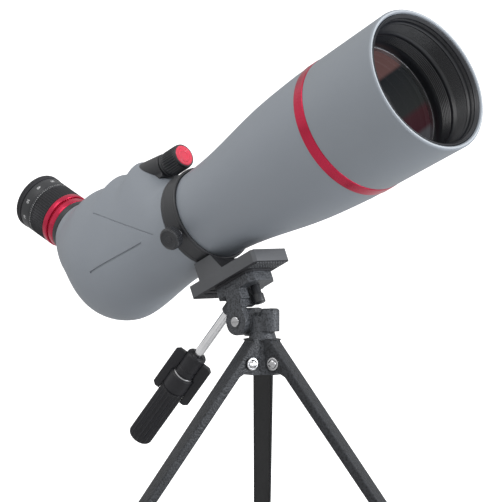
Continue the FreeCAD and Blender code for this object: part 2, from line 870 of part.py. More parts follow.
def make_eyepiece():
    barrel = [
        ("barrel_start", "barrel_bore - 2"),
        ("barrel_start", "barrel_radius"),
        ("barrel_end", "barrel_radius"),
        ("barrel_end", "barrel_bore - 1"),
        ("eye_lens_start + eye_lens_long", "barrel_bore - 1"),
        ("eye_lens_start + eye_lens_long", "barrel_bore"),
        ("barrel_start + 2", "barrel_bore"),
        ("barrel_start + 2", "barrel_bore - 2"),
    ]
    keep("eyepiece_barrel", lathe("eyepiece_barrel_body", barrel), eyepiece)
    keep("eyepiece_base_collar", lathe("base_collar_body", ring(
        "branch_end", "base_collar_end", "barrel_radius", "base_collar_radius")), eyepiece)
    red = [
        ("base_collar_end", "barrel_radius"),
        ("base_collar_end", "red_band_radius"),
        ("red_band_end", "red_band_radius"),
        ("red_band_end", "red_groove_radius"),
        ("red_groove_end", "red_groove_radius"),
        ("red_groove_end", "red_flange_radius - 0.4"),
        ("red_groove_end + 0.4", "red_flange_radius"),
        ("red_flange_end - 0.4", "red_flange_radius"),
        ("red_flange_end", "red_flange_radius - 0.4"),
        ("red_flange_end", "barrel_radius"),
    ]
    keep("eyepiece_red_ring", lathe("red_ring_body", red), eyepiece)
    keep("zoom_ring", lathe("zoom_ring_body", ring(
        "red_flange_end + face_gap", "zoom_ring_end - face_gap",
        "barrel_radius + slide_gap", "zoom_ring_radius")), eyepiece)
    band = [
        ("zoom_ring_end", "barrel_radius"),
        ("zoom_ring_end", "band_radius"),
        ("band_end", "band_radius"),
        ("band_end", "band_bore"),
        ("zoom_ring_end + band_floor", "band_bore"),
        ("zoom_ring_end + band_floor", "barrel_radius"),
    ]
    keep("eyepiece_band", lathe("band_body", band), eyepiece)
    cup = [
        ("cup_sleeve_start", "barrel_radius + slide_gap"),
        ("cup_sleeve_start", "band_bore - slide_gap"),
        ("band_end + face_gap", "band_bore - slide_gap"),
        ("band_end + face_gap", "cup_radius - 0.5"),
        ("band_end + 0.6", "cup_radius"),
        ("cup_end - 1.4", "cup_radius"),
        ("cup_end", "cup_radius - 1.4"),
        ("cup_end", "cup_mouth + 4"),
        ("cup_end - 2", "cup_mouth"),
        ("cup_end - 4", "cup_mouth"),
        ("barrel_end + 2.2", "cup_mouth + 1"),
        ("barrel_end + 2.2", "barrel_radius + slide_gap"),
    ]
    keep("eyecup", lathe("eyecup_body", cup), eyepiece)
    lens("eye_lens", "eye_lens_start", "eye_lens_long - 1.6", "barrel_bore", "barrel_bore * 4", eyepiece)
    carrier_radius = "barrel_bore - slide_gap"
    keep("zoom_carriage", lathe("zoom_carriage_body", ring(
        "zoom_lens_start", "zoom_lens_start + zoom_lens_long",
        "barrel_bore - lens_ring_wide", carrier_radius)), eyepiece)
    lens("zoom_lens", "zoom_lens_start + 0.5", "zoom_lens_long - 2.5", "barrel_bore - lens_ring_wide",
         "barrel_bore * 4", eyepiece)
    lens("field_lens", "field_lens_start", "field_lens_long - 1", "barrel_bore", "barrel_bore * 4",
         eyepiece)


# ---------------------------------------------------------------------------------------------
# Clamp collar, foot and thumb screw
# ---------------------------------------------------------------------------------------------

def make_collar():
    outline = [
        ("collar_back", "tube_radius + slide_gap"),
        ("collar_back", "collar_radius - 0.6"),
        ("collar_back + 0.6", "collar_radius"),
        ("collar_front - 0.6", "collar_radius"),
        ("collar_front", "collar_radius - 0.6"),
        ("collar_front", "tube_radius + slide_gap"),
    ]
    band = lathe("collar_band", outline)
    inner = Placement(Vector(size("thumb_shaft_inner") - 3.0, 0, 0), ALONG_X)
    thread = stand_at(
        cylinder("thumb_hole", "thumb_shaft_radius + slide_gap", "10"),
        scope.inverse().multiply(thumb).multiply(inner))
    screws = []
    seats = []
    for number, station in enumerate(("foot_screw_back", "foot_screw_front")):
        top = "-1 * tube_radius - foot_screw_sunk"
        shank_low = top + " - foot_screw_long"
        head_low = top + " - foot_screw_head_long"
        for role, head_long in (
                ("seat", "foot_screw_head_long + foot_screw_sunk"),
                ("screw", "foot_screw_head_long")):
            shank = cylinder("foot_%s_shank_%d" % (role, number), "foot_screw_radius",
                             "foot_screw_long", x=station, z=shank_low, along="Z")
            head = cylinder("foot_%s_head_%d" % (role, number), "foot_screw_head", head_long,
                            x=station, z=head_low, along="Z")
            joined = fuse("foot_%s_%d" % (role, number), shank, head)
            (seats if role == "seat" else screws).append(joined)
    keep("collar_ring", cut("collar_ring_cut", band, fuse("collar_holes", thread, *seats)), scope)
    keep("foot_screws", group("foot_screws_group", *screws), scope)
    return seats


def make_foot(seats):
    pedestal = slab("pedestal_body", [
        ("pedestal_back", "-1 * foot_top - 1"),
        ("pedestal_front", "-1 * foot_top - 1"),
        ("pedestal_front", "-1 * foot_top"),
        ("pedestal_front_top", "-1 * tube_bore"),
        ("pedestal_back", "-1 * tube_bore"),
    ], "foot_half_width")
    plate = sheet_slab(
        "foot_plate_body",
        clipped_corners("foot_back", "foot_front", "foot_half_width", "foot_corner"),
        "-1 * foot_top - foot_thick", "-1 * foot_top")
    solid = fuse("foot_solid", pedestal, plate)
    ring_room = cylinder("foot_ring_room", "collar_radius", "2 * tube_bore", x="-1 * tube_bore")
    screw_hole = cylinder("foot_camera_hole", "camera_hole_radius", "foot_camera_deep", x="camera_screw_s",
                          z="-1 * foot_top - foot_thick", along="Z")
    slots = []
    for number in range(round(size("foot_slot_count"))):
        start = "foot_back + foot_slot_first + %d * foot_slot_pitch" % number
        middle = size(start + " + foot_slot_wide / 2")
        if abs(middle - size("camera_screw_s")) < size("foot_slot_clear"):
            continue
        slots.append(box(
            "foot_slot_%d" % number,
            (start, "-1 * foot_half_width + foot_slot_edge", "-1 * foot_top - foot_thick"),
            (start + " + foot_slot_wide", "foot_half_width - foot_slot_edge",
             "-1 * foot_top - foot_thick + foot_slot_deep"),
        ))
    tools = fuse("foot_tools", ring_room, screw_hole, *slots, *seats)
    keep("mounting_foot", cut("mounting_foot_cut", solid, tools), scope)


def make_thumb_screw():
    shaft = [
        ("thumb_shaft_inner", "0"),
        ("thumb_shaft_inner", "thumb_shaft_radius - 0.6"),
        ("thumb_shaft_inner + 0.6", "thumb_shaft_radius"),
        ("thumb_knob_inner + 3", "thumb_shaft_radius"),
        ("thumb_knob_inner + 3", "0"),
    ]
    keep("collar_screw", lathe("collar_screw_body", shaft), thumb)
    knob = [
        ("thumb_knob_inner", "thumb_shaft_radius"),
        ("thumb_knob_inner", "thumb_knob_radius - 1.4"),
        ("thumb_knob_inner + 0.8", "thumb_knob_radius"),
        ("thumb_knob_outer - 0.8", "thumb_knob_radius"),
        ("thumb_knob_outer", "thumb_knob_radius - 0.8"),
        ("thumb_knob_outer", "0"),
        ("thumb_knob_inner + 3", "0"),
        ("thumb_knob_inner + 3", "thumb_shaft_radius"),
    ]
    keep("collar_knob", lathe("collar_knob_body", knob), thumb)


# ---------------------------------------------------------------------------------------------
# Tilting platform
# ---------------------------------------------------------------------------------------------

PAD_TOP = "-1 * foot_top - foot_thick"
PLATFORM_TOP = PAD_TOP + " - pad_thick"
PLATFORM_LOW = PLATFORM_TOP + " - platform_thick"
TILT_NUT = "barrel_half + face_gap"


def arm_outline():
    """Side outline of the platform's arm, from under the plate down to the tilt axis."""
    return [
        ("neck_back", PLATFORM_TOP + " - 3"),
        ("neck_back", "tilt_axis_n + ear_waist"),
        ("tilt_axis_s - ear_radius * 0.96", "tilt_axis_n + ear_radius * 0.28"),
        ("tilt_axis_s - ear_radius * 0.9", "tilt_axis_n"),
        ("tilt_axis_s + ear_radius * 0.9", "tilt_axis_n"),
        ("tilt_axis_s + ear_radius * 0.96", "tilt_axis_n + ear_radius * 0.28"),
        ("neck_front", "tilt_axis_n + ear_waist"),
        ("neck_front", PLATFORM_TOP + " - 3"),
    ]


def handle_cylinder(name, radius, length, start):
    """Cylinder on the handle's axis, standing in the scope frame."""
    along = handle.multiply(Placement(Vector(start, 0, 0), ALONG_X))
    return stand_at(cylinder(name, radius, length), scope.inverse().multiply(along))


def make_platform():
    plate = sheet_slab(
        "platform_plate",
        clipped_corners("platform_back", "platform_front", "platform_half_width", "platform_corner"),
        PLATFORM_LOW, PLATFORM_TOP)
    arm = slab("platform_arm", arm_outline(), "ear_outer")
    disc_end = cylinder("platform_disc", "ear_radius", "ear_outer - ear_inner", x="tilt_axis_s",
                        y="-1 * ear_outer", z="tilt_axis_n", along="Y")
    boss_base = size("boss_start - boss_long")
    boss = handle_cylinder("platform_boss", "boss_radius", "boss_long", boss_base)
    solid = fuse("platform_solid", plate, arm, disc_end, boss)
    barrel_room = box(
        "platform_barrel_room",
        ("tilt_axis_s - 2 * ear_radius", "-1 * ear_inner", "tilt_axis_n - 2 * ear_radius"),
        ("tilt_axis_s + 2 * ear_radius", "ear_outer", "tilt_axis_n + barrel_r + barrel_gap"),
    )
    far_room = box(
        "platform_far_room",
        ("tilt_axis_s - 2 * ear_radius", "arm_far_side", "tilt_axis_n"),
        ("tilt_axis_s + 2 * ear_radius", "2 * ear_outer", PLATFORM_LOW),
    )
    boss_keep = handle_cylinder("boss_keep", "boss_radius", "boss_long", boss_base)
    open_side = cut("platform_open_side", fuse("platform_rooms", barrel_room, far_room), boss_keep)
    wheel_room = cylinder("wheel_room", "camera_wheel_radius + 0.6", "20", x="camera_screw_s",
                          z=PLATFORM_LOW + " - 20", along="Z")
    screw_hole = cylinder("camera_clearance", "camera_hole_radius", "platform_thick",
                          x="camera_screw_s", z=PLATFORM_LOW, along="Z")
    pin_hole = cylinder("tilt_hole", "tilt_screw_radius", "ear_outer", x="tilt_axis_s",
                        y="-1 * ear_outer", z="tilt_axis_n", along="Y")
    rod_hole = handle_cylinder("boss_bore", "rod_radius + slide_gap", "-1 * rod_in_boss + 1",
                               size("rod_in_boss") - 0.5)
    tools = fuse("platform_tools", open_side, wheel_room, screw_hole, pin_hole, rod_hole)
    keep("tilt_platform", cut("tilt_platform_cut", solid, tools), scope)
    pad = sheet_slab(
        "platform_pad_body",
        clipped_corners("platform_back", "platform_front", "platform_half_width", "platform_corner"),
        PLATFORM_TOP, PAD_TOP)
    pad_hole = cylinder("pad_hole", "camera_hole_radius", "pad_thick", x="camera_screw_s",
                        z=PLATFORM_TOP, along="Z")
    keep("platform_pad", cut("platform_pad_cut", pad, pad_hole), scope)


def make_platform_hardware():
    wheel = cylinder("camera_wheel", "camera_wheel_radius", "camera_wheel_top - camera_wheel_low",
                     x="camera_screw_s", z="camera_wheel_low", along="Z")
    shaft = cylinder("camera_shaft", "camera_screw_radius", "camera_screw_top - camera_wheel_low",
                     x="camera_screw_s", z="camera_wheel_low", along="Z")
    keep("camera_screw", fuse("camera_screw_fuse", wheel, shaft), scope)
    shank = cylinder("tilt_shank", "tilt_screw_radius", "ear_outer + " + TILT_NUT + " + tilt_nut_long + 0.6",
                     x="tilt_axis_s", y="-1 * ear_outer", z="tilt_axis_n", along="Y")
    head = cylinder("tilt_head", "tilt_screw_head", "tilt_screw_head_long", x="tilt_axis_s",
                    y="-1 * ear_outer - tilt_screw_head_long", z="tilt_axis_n", along="Y")
    keep("tilt_screw", fuse("tilt_screw_fuse", shank, head), scope)
    nut = hexagon("tilt_nut_hex", "tilt_nut_across", "tilt_nut_long", x="tilt_axis_s", y=TILT_NUT,
                  z="tilt_axis_n", along="Y")
    nut_hole = cylinder("tilt_nut_hole", "tilt_screw_radius", "tilt_nut_long", x="tilt_axis_s",
                        y=TILT_NUT, z="tilt_axis_n", along="Y")
    keep("tilt_nut", cut("tilt_nut_cut", nut, nut_hole), scope)


# ---------------------------------------------------------------------------------------------
# Handle
# ---------------------------------------------------------------------------------------------

def make_handle():
    keep("handle_rod", lathe("handle_rod_body", disc(
        "rod_in_boss", "handle_bore_end", "rod_radius")), handle)
    barrel = lathe("socket_body", ring(
        "socket_start", "socket_end", "rod_radius", "socket_radius"))
    prongs = []
    for number, side in enumerate(("", "-1 * ")):
        prongs.append(cylinder("handle_prong_%d" % number, "prong_radius",
                               "socket_start - prong_start + 4", x="prong_start",
                               y=side + "prong_off"))
    bore = cylinder("socket_bore", "rod_radius", "30", x="prong_start - 1")
    solid = fuse("socket_solid", barrel, *prongs)
    keep("handle_socket", cut("socket_cut", solid, bore), handle)
    keep("handle_ferrule", lathe("ferrule_body", ring(
        "socket_end", "ferrule_end", "rod_radius", "ferrule_radius")), handle)
    grip = [
        ("ferrule_end", "rod_radius"),
        ("ferrule_end", "handle_sleeve_radius - 0.8"),
        ("ferrule_end + 0.8", "handle_sleeve_radius"),
        ("sleeve_end", "handle_sleeve_radius"),
        ("sleeve_end + 1", "grip_radius"),
        ("grip_end - grip_round", "grip_radius"),
        ("grip_end - grip_round / 3", "grip_radius - grip_round / 3"),
        ("grip_end", "grip_radius - grip_round"),
        ("grip_end", "0"),
        ("handle_bore_end", "0"),
        ("handle_bore_end", "rod_radius"),
    ]
    grip_form = lathe("grip_body", grip)
    corner = "wing_corner"
    wing = sheet_slab("wing_form", clipped_corners("wing_start", "wing_end", "wing_half", corner),
                      "-1 * wing_half_thick", "wing_half_thick")
    rod_room = cylinder("wing_socket_room", "socket_radius", "socket_end - wing_start", x="wing_start")
    ferrule_room = cylinder("wing_ferrule_room", "ferrule_radius", "ferrule_end - socket_end",
                            x="socket_end")
    sleeve_room = cylinder("wing_sleeve_room", "handle_sleeve_radius", "wing_end - ferrule_end",
                           x="ferrule_end")
    rooms = fuse("wing_rooms", rod_room, ferrule_room, sleeve_room)
    keep("handle_grip", grip_form, handle)
    keep("handle_wings", cut("wing_cut", wing, rooms), handle)


# ---------------------------------------------------------------------------------------------
# Pan head
# ---------------------------------------------------------------------------------------------

def make_head():
    barrel = cylinder("head_barrel", "barrel_r", "2 * barrel_half", x="barrel_x",
                      y="-1 * barrel_half", z="barrel_z", along="Y")
    web = slab("head_web", [
        ("barrel_x", "pan_boss_low - 3.6"),
        ("0", "pan_boss_low - 3.6"),
        ("0", "barrel_z + 4"),
        ("barrel_x", "barrel_z + 4"),
    ], "head_web_half")
    neck = cylinder("head_neck", "head_neck_radius", "barrel_z - head_low + 4", z="head_low",
                    along="Z")
    boss = lathe("head_boss", [
        ("pan_boss_low", "0"),
        ("pan_boss_low", "pan_boss_radius"),
        ("pan_boss_high - pan_boss_edge", "pan_boss_radius"),
        ("pan_boss_high", "pan_boss_radius - pan_boss_edge"),
        ("pan_boss_high", "0"),
    ])
    boss.Placement = Placement(Vector(size("pan_boss_x"), 0, 0), Rotation(SIDE, -90))
    solid = fuse("head_solid", barrel, web, neck, boss)
    tilt_bore = cylinder("head_tilt_bore", "tilt_screw_radius + slide_gap", "2 * barrel_half",
                         x="barrel_x", y="-1 * barrel_half", z="barrel_z", along="Y")
    stud_bore = cylinder("head_pan_bore", "pan_stud_radius + slide_gap", "pan_nut_low - head_low",
                         z="head_low", along="Z")
    pocket = cylinder("head_pocket", "pan_pocket_radius", "30", z="pan_nut_low", along="Z")
    tools = fuse("head_tools", tilt_bore, stud_bore, pocket)
    keep("pan_head", cut("pan_head_cut", solid, tools), world)


# ---------------------------------------------------------------------------------------------
# Hub, legs and their hardware
# ---------------------------------------------------------------------------------------------

def make_hub():
    post = cylinder("hub_post", "hub_radius", "head_low - pan_washer_thick", along="Z")
    lugs = []
    holes = []
    for number in range(3):
        spin = Rotation(UP, size("leg_turn") + 120.0 * number)
        lug = slab("hub_lug_%d" % number, [
            ("0", "0"),
            ("pivot_out", "0"),
            ("pivot_out + lug_round * 0.7", "pivot_high - lug_round * 0.7"),
            ("pivot_out + lug_round", "pivot_high"),
            ("pivot_out + lug_round * 0.7", "pivot_high + lug_round * 0.7"),
            ("pivot_out", "lug_high - 0.6"),
            ("0", "lug_high"),
        ], "lug_half")
        lug.Placement = Placement(Vector(), spin)
        lugs.append(lug)
        hole = cylinder("hub_hole_%d" % number, "leg_screw_radius", "2 * lug_half", along="Y")
        pivot = Vector(size("pivot_out"), -size("lug_half"), size("pivot_high"))
        turned = Placement(Vector(), spin).multiply(Placement(pivot, Rotation(AHEAD, -90)))
        holes.append(stand_at(hole, turned))
    stud_hole = cylinder("hub_stud_hole", "pan_stud_radius", "30", z="pan_stud_low", along="Z")
    solid = fuse("hub_solid", post, *lugs)
    keep("tripod_hub", cut("tripod_hub_cut", solid, fuse("hub_tools", stud_hole, *holes)), world)
    stud = cylinder("pan_stud", "pan_stud_radius", "pan_stud_high - pan_stud_low", z="pan_stud_low",
                    along="Z")
    keep("pan_stud", stud, world)
    nut = hexagon("pan_nut_hex", "pan_nut_across", "pan_nut_long", z="pan_nut_low + face_gap")
    nut_hole = cylinder("pan_nut_hole", "pan_stud_radius", "pan_nut_long", z="pan_nut_low + face_gap",
                        along="Z")
    keep("pan_nut", cut("pan_nut_cut", nut, nut_hole), world)
    washer = cylinder("pan_washer_disc", "hub_radius", "pan_washer_thick - face_gap",
                      z="head_low - pan_washer_thick", along="Z")
    washer_hole = cylinder("pan_washer_hole", "pan_stud_radius", "pan_washer_thick",
                           z="head_low - pan_washer_thick", along="Z")
    keep("pan_washer", cut("pan_washer_cut", washer, washer_hole), world)


def flange_outline():
    """Side outline of a leg: the channel, and the gusset that reaches in round the pivot."""
    lean = math.radians(size("leg_spread"))
    reach = size("gusset_reach")
    web = size("web_out")

    def corner(out, up):
        """Leg coordinates of a point given outward and upward from the pivot."""
        along = out * math.sin(lean) - up * math.cos(lean)
        off = out * math.cos(lean) + up * math.sin(lean)
        return along, off

    points = [(size("leg_top"), web), (size("leg_end"), web)]
    flange = web - size("flange_deep")
    points.append((size("leg_end"), flange))
    points.append((size("gusset_end"), flange))
    points.append(corner(size("gusset_toe"), -reach))
    arc_steps = 6
    for step in range(arc_steps + 1):
        angle = math.radians(270.0 - 90.0 * step / arc_steps)
        points.append(corner(reach * math.cos(angle), reach * math.sin(angle)))
    back_top = corner(-reach, size("gusset_top"))
    points.append(back_top)
    points.append((size("leg_top"), back_top[1] + size("gusset_slope")))
    return [("%.4f" % along, "%.4f" % off) for along, off in points]


def taper(inset):
    """Plan outline of a leg, parallel past the pivot and then narrowing to the foot."""
    top = "leg_half_top" + inset
    end = "leg_half_end" + inset
    return [
        ("leg_top - 10", "-1 * " + top.replace(" - ", " + ")),
        ("taper_start", "-1 * " + top.replace(" - ", " + ")),
        ("leg_end", "-1 * " + end.replace(" - ", " + ")),
        ("leg_end", end),
        ("taper_start", top),
        ("leg_top - 10", top),
    ]


def make_leg(number, name):
    frame = leg_frame(number)
    side = slab("leg_side_" + name, flange_outline(), "leg_half_top + 1")
    plan = sheet_slab("leg_plan_" + name, taper(""), "-20", "20")
    room = sheet_slab("leg_room_" + name, taper(" - leg_sheet"), "-20", "web_out - leg_sheet")
    blank = common("leg_blank_" + name, side, plan)
    pivot = cylinder("leg_pivot_" + name, "leg_screw_radius + slide_gap", "4 * leg_half_top",
                     y="-2 * leg_half_top", along="Y")
    keep("leg_" + name, cut("leg_cut_" + name, blank, fuse("leg_tools_" + name, room, pivot)), frame)

    outer = box(
        "tip_outer_" + name,
        ("tip_start", "-1 * leg_half_end - tip_wall - 0.2", "web_out - flange_deep - tip_wall"),
        ("leg_end + 20", "leg_half_end + tip_wall + 0.2", "web_out + tip_wall"),
    )
    channel = common(
        "tip_channel_" + name,
        slab("tip_side_" + name, flange_outline(), "leg_half_top + 1"),
        sheet_slab("tip_plan_" + name, taper(""), "-20", "20"),
    )
    below = doc.addObject("Part::Box", "tip_ground_" + name)
    bind(below, Length="400", Width="400", Height="60")
    below.Placement = frame.inverse().multiply(
        Placement(Vector(-200, -200, size("ground") - 60.0), Rotation()))
    tools = fuse("tip_tools_" + name, channel, below)
    keep("leg_tip_" + name, cut("tip_cut_" + name, outer, tools), frame)


def make_leg_hardware():
    screws = []
    nuts = []
    for number in range(3):
        spin = Placement(
            Vector(), Rotation(UP, size("leg_turn") + 120.0 * number)).multiply(
            Placement(Vector(size("pivot_out"), 0, size("pivot_high")), Rotation()))
        far = "leg_half_top + face_gap"
        shank = cylinder("leg_shank_%d" % number, "leg_screw_radius",
                         "2 * leg_half_top + 2 * face_gap + leg_nut_long + 0.8",
                         y="-1 * leg_half_top - face_gap", along="Y")
        head = cylinder("leg_head_%d" % number, "leg_screw_head", "leg_screw_head_long",
                        y="-1 * leg_half_top - face_gap - leg_screw_head_long", along="Y")
        slot = box(
            "leg_slot_%d" % number,
            ("-5", "-1 * leg_half_top - face_gap - leg_screw_head_long", "-0.45"),
            ("5", "-1 * leg_half_top - face_gap - leg_screw_head_long + 0.9", "0.45"),
        )
        screw = cut("leg_screw_%d" % number, fuse("leg_screw_form_%d" % number, shank, head), slot)
        screw.Placement = spin
        screws.append(screw)
        nut = hexagon("leg_nut_hex_%d" % number, "leg_nut_across", "leg_nut_long", y=far, along="Y")
        hole = cylinder("leg_nut_hole_%d" % number, "leg_screw_radius", "leg_nut_long", y=far,
                        along="Y")
        piece = cut("leg_nut_%d" % number, nut, hole)
        piece.Placement = spin
        nuts.append(piece)
    keep("leg_screws", group("leg_screws_group", *screws), world)
    keep("leg_nuts", group("leg_nuts_group", *nuts), world)


# ---------------------------------------------------------------------------------------------
# Build, check and write
# ---------------------------------------------------------------------------------------------

make_main_tube()
make_front_barrel()
make_lens_cell()
make_objective_lenses()
make_prism_housing()
make_prism_group()
make_focus_group()
make_focus_carriage()
make_eyepiece()
make_foot(make_collar())
make_thumb_screw()
make_platform()
make_platform_hardware()
make_handle()
make_head()
make_hub()
for leg_number, leg_name in enumerate(LEG_NAMES):
    make_leg(leg_number, leg_name)
make_leg_hardware()

doc.recompute()

problems = []
for item in doc.Objects:
    if "Invalid" in item.State or "Error" in item.State:
        problems.append("%s is %s" % (item.Label, item.State))
for label, item in nodes.items():
    if item.Shape.isNull() or not item.Shape.isValid():
        problems.append(label + " has no valid shape")
    elif not item.Shape.Solids:
        problems.append(label + " has no solid")
if problems:
    raise RuntimeError("; ".join(problems))

os.makedirs("parts", exist_ok=True)
for label, item in nodes.items():
    item.Shape.exportStep(os.path.join("parts", label + ".step"))
print("wrote %d nodes" % len(nodes))
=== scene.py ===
"""Spotting scope on a tabletop tripod: the visible model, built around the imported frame.

Lengths are metres. Places come from the frame's joints and boxes. Each piece is built in a local
frame whose X axis is the piece's own axis, and then rides on a body.
"""

import json
import math

import bmesh
import bpy
from mathutils import Matrix, Vector
from mathutils.bvhtree import BVHTree


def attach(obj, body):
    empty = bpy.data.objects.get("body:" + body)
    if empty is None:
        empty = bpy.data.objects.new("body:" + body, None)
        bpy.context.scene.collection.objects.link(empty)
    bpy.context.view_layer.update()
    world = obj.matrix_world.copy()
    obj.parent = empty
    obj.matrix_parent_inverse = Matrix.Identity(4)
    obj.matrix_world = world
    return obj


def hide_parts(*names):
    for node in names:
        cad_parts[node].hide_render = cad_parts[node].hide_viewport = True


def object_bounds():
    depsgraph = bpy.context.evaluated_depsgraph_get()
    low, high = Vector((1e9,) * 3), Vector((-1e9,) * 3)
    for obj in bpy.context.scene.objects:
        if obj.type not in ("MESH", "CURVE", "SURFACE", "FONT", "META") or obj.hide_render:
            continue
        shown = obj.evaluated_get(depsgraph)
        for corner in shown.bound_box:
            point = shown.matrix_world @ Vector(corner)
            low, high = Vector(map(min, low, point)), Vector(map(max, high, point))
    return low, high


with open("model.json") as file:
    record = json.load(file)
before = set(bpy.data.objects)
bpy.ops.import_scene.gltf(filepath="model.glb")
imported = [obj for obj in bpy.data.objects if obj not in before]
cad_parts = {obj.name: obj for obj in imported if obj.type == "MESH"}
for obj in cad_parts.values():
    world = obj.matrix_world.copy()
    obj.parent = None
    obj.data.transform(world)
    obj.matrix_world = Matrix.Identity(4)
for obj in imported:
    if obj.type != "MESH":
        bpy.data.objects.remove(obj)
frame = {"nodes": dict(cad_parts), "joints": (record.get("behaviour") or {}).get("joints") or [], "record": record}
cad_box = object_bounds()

MM = 0.001
NEAR_ZERO = 1e-6
WELD_GAP = 1e-4
JOINTS = {joint["name"]: joint for joint in frame["joints"]}


# --- Local frames, read from the joints

def axes_frame(origin, along, up):
    """Matrix whose X axis is along and whose Z axis leans as near to up as it can."""
    x = Vector(along).normalized()
    y = Vector(up).cross(x).normalized()
    z = x.cross(y)
    matrix = Matrix((x, y, z)).transposed().to_4x4()
    matrix.translation = Vector(origin)
    return matrix


def joint_frame(name, up=(0, 0, 1)):
    """Local frame on a joint, with X along the joint's axis."""
    return axes_frame(JOINTS[name]["pos_m"], JOINTS[name]["axis"], up)


TUBE = joint_frame("tube_turn")


# --- Materials

class Nodes:
    """Short way to write a material's node tree."""

    def __init__(self, name):
        self.material = bpy.data.materials.new(name)
        self.material.use_nodes = True
        self.tree = self.material.node_tree
        self.shader = self.tree.nodes["Principled BSDF"]
        coords = self.tree.nodes.new("ShaderNodeTexCoord")
        self.place = coords.outputs["Object"]

    def add(self, kind, **values):
        """New node, with its inputs set from values or linked from sockets."""
        node = self.tree.nodes.new(kind)
        self.fill(node, **values)
        return node

    def feed(self, socket, value):
        """Link a socket to another one, or set its value."""
        if isinstance(value, bpy.types.NodeSocket):
            self.tree.links.new(value, socket)
        else:
            socket.default_value = value

    def fill(self, node, **values):
        """Feed inputs, whose names are written with underscores for spaces."""
        for key, value in values.items():
            self.feed(node.inputs[key.replace("_", " ")], value)

    def noise(self, scale, detail=3.0, rough=0.55):
        """Noise texture's value."""
        node = self.add("ShaderNodeTexNoise", Vector=self.place, Scale=scale, Detail=detail,
                        Roughness=rough)
        return node.outputs["Fac"]

    def cells(self, scale):
        """Voronoi texture's distance."""
        return self.add("ShaderNodeTexVoronoi", Vector=self.place, Scale=scale).outputs["Distance"]

    def ramp(self, value, stops):
        """Colour ramp from (position, colour) stops."""
        node = self.add("ShaderNodeValToRGB", Fac=value)
        elements = node.color_ramp.elements
        while len(elements) < len(stops):
            elements.new(0.5)
        for element, (position, colour) in zip(elements, stops):
            element.position = position
            element.color = (*colour, 1.0)
        return node.outputs["Color"]

    def level(self, value, low, high):
        """Value spread from 0..1 to low..high."""
        return self.add("ShaderNodeMapRange", Value=value, To_Min=low, To_Max=high).outputs[0]

    def window(self, value, start, end):
        """Value that rises from 0 at start to 1 at end."""
        return self.add("ShaderNodeMapRange", Value=value, From_Min=start, From_Max=end).outputs[0]

    def math(self, operation, first, second=0.0):
        """One arithmetic step."""
        node = self.tree.nodes.new("ShaderNodeMath")
        node.operation = operation
        self.feed(node.inputs[0], first)
        self.feed(node.inputs[1], second)
        return node.outputs[0]

    def dot(self, first, second):
        """Dot product of two vectors."""
        node = self.tree.nodes.new("ShaderNodeVectorMath")
        node.operation = "DOT_PRODUCT"
        self.feed(node.inputs[0], first)
        self.feed(node.inputs[1], second)
        return node.outputs["Value"]

    def mix(self, factor, first, second):
        """Colour between first and second."""
        node = self.tree.nodes.new("ShaderNodeMix")
        node.data_type = "RGBA"
        for index, value in ((0, factor), (6, first), (7, second)):
            self.feed(node.inputs[index], (*value, 1.0) if isinstance(value, tuple) else value)
        return node.outputs[2]

    def soft_edges(self, radius):
        """Normal rounded over edges."""
        bevel = self.add("ShaderNodeBevel", Radius=radius)
        bevel.samples = 4
        return bevel.outputs["Normal"]

    def edges(self, radius):
        """0 on flat ground and near 1 on edges, from a rounded normal."""
        geometry = self.tree.nodes.new("ShaderNodeNewGeometry")
        return self.window(self.dot(self.soft_edges(radius), geometry.outputs["Normal"]),
                           0.985, 0.85)

    def bump(self, height, distance, radius, strength=1.0):
        """Bumped normal, over edges rounded by a radius."""
        node = self.add("ShaderNodeBump", Height=height, Distance=distance, Strength=strength,
                        Normal=self.soft_edges(radius))
        return node.outputs["Normal"]

    def finish(self, **values):
        """Set the shader's inputs and give the material back."""
        self.fill(self.shader, **values)
        return self.material


def tint(colour, factor):
    """Colour made lighter or darker by a factor."""
    return tuple(channel * factor for channel in colour)


def moulded(name, colour, rough=0.5, grain=900.0, depth=0.03, edge=0.25, specular=0.5, spread=0.12):
    """Moulded or coated plastic: fine grain, mottled tone, slightly worn edges."""
    n = Nodes(name)
    broad = n.noise(28.0, 2.0)
    fine = n.noise(grain, 4.0, 0.6)
    tone = n.mix(broad, tint(colour, 1.0 - spread), tint(colour, 1.0 + spread))
    worn = n.mix(n.math("MULTIPLY", n.edges(0.4 * MM), edge), tone, tint(colour, 1.9))
    unevenness = n.math("ADD", n.math("MULTIPLY", broad, 0.6), n.math("MULTIPLY", fine, 0.4))
    roughness = n.level(unevenness, rough - 0.08, rough + 0.08)
    normal = n.bump(fine, depth * MM, 0.25 * MM)
    return n.finish(Base_Color=worn, Roughness=roughness, Normal=normal,
                    Specular_IOR_Level=specular)


def hammered(name, colour, rough=0.38, cell=760.0, depth=0.34, edge=0.35):
    """Hammered enamel over metal: small dimples, with painted shade in the hollows and a painted highlight on the
    crowns.
    """
    n = Nodes(name)
    dimple = n.cells(cell)
    wander = n.noise(cell * 0.5, 3.0)
    height = n.math("ADD", n.math("MULTIPLY", dimple, 0.7), n.math("MULTIPLY", wander, 0.6))
    # Tone follows the dimple height: hollows painted darker as shade, crowns painted lighter as highlight.
    tone = n.ramp(height, [(0.3, tint(colour, 0.5)), (0.5, colour), (0.75, tint(colour, 2.0))])
    worn = n.mix(n.math("MULTIPLY", n.edges(0.5 * MM), edge), tone, tint(colour, 2.6))
    roughness = n.level(wander, rough - 0.1, rough + 0.14)
    normal = n.bump(height, depth * MM, 0.4 * MM, 0.8)
    return n.finish(Base_Color=worn, Roughness=roughness, Normal=normal, Metallic=0.1,
                    Specular_IOR_Level=0.3)


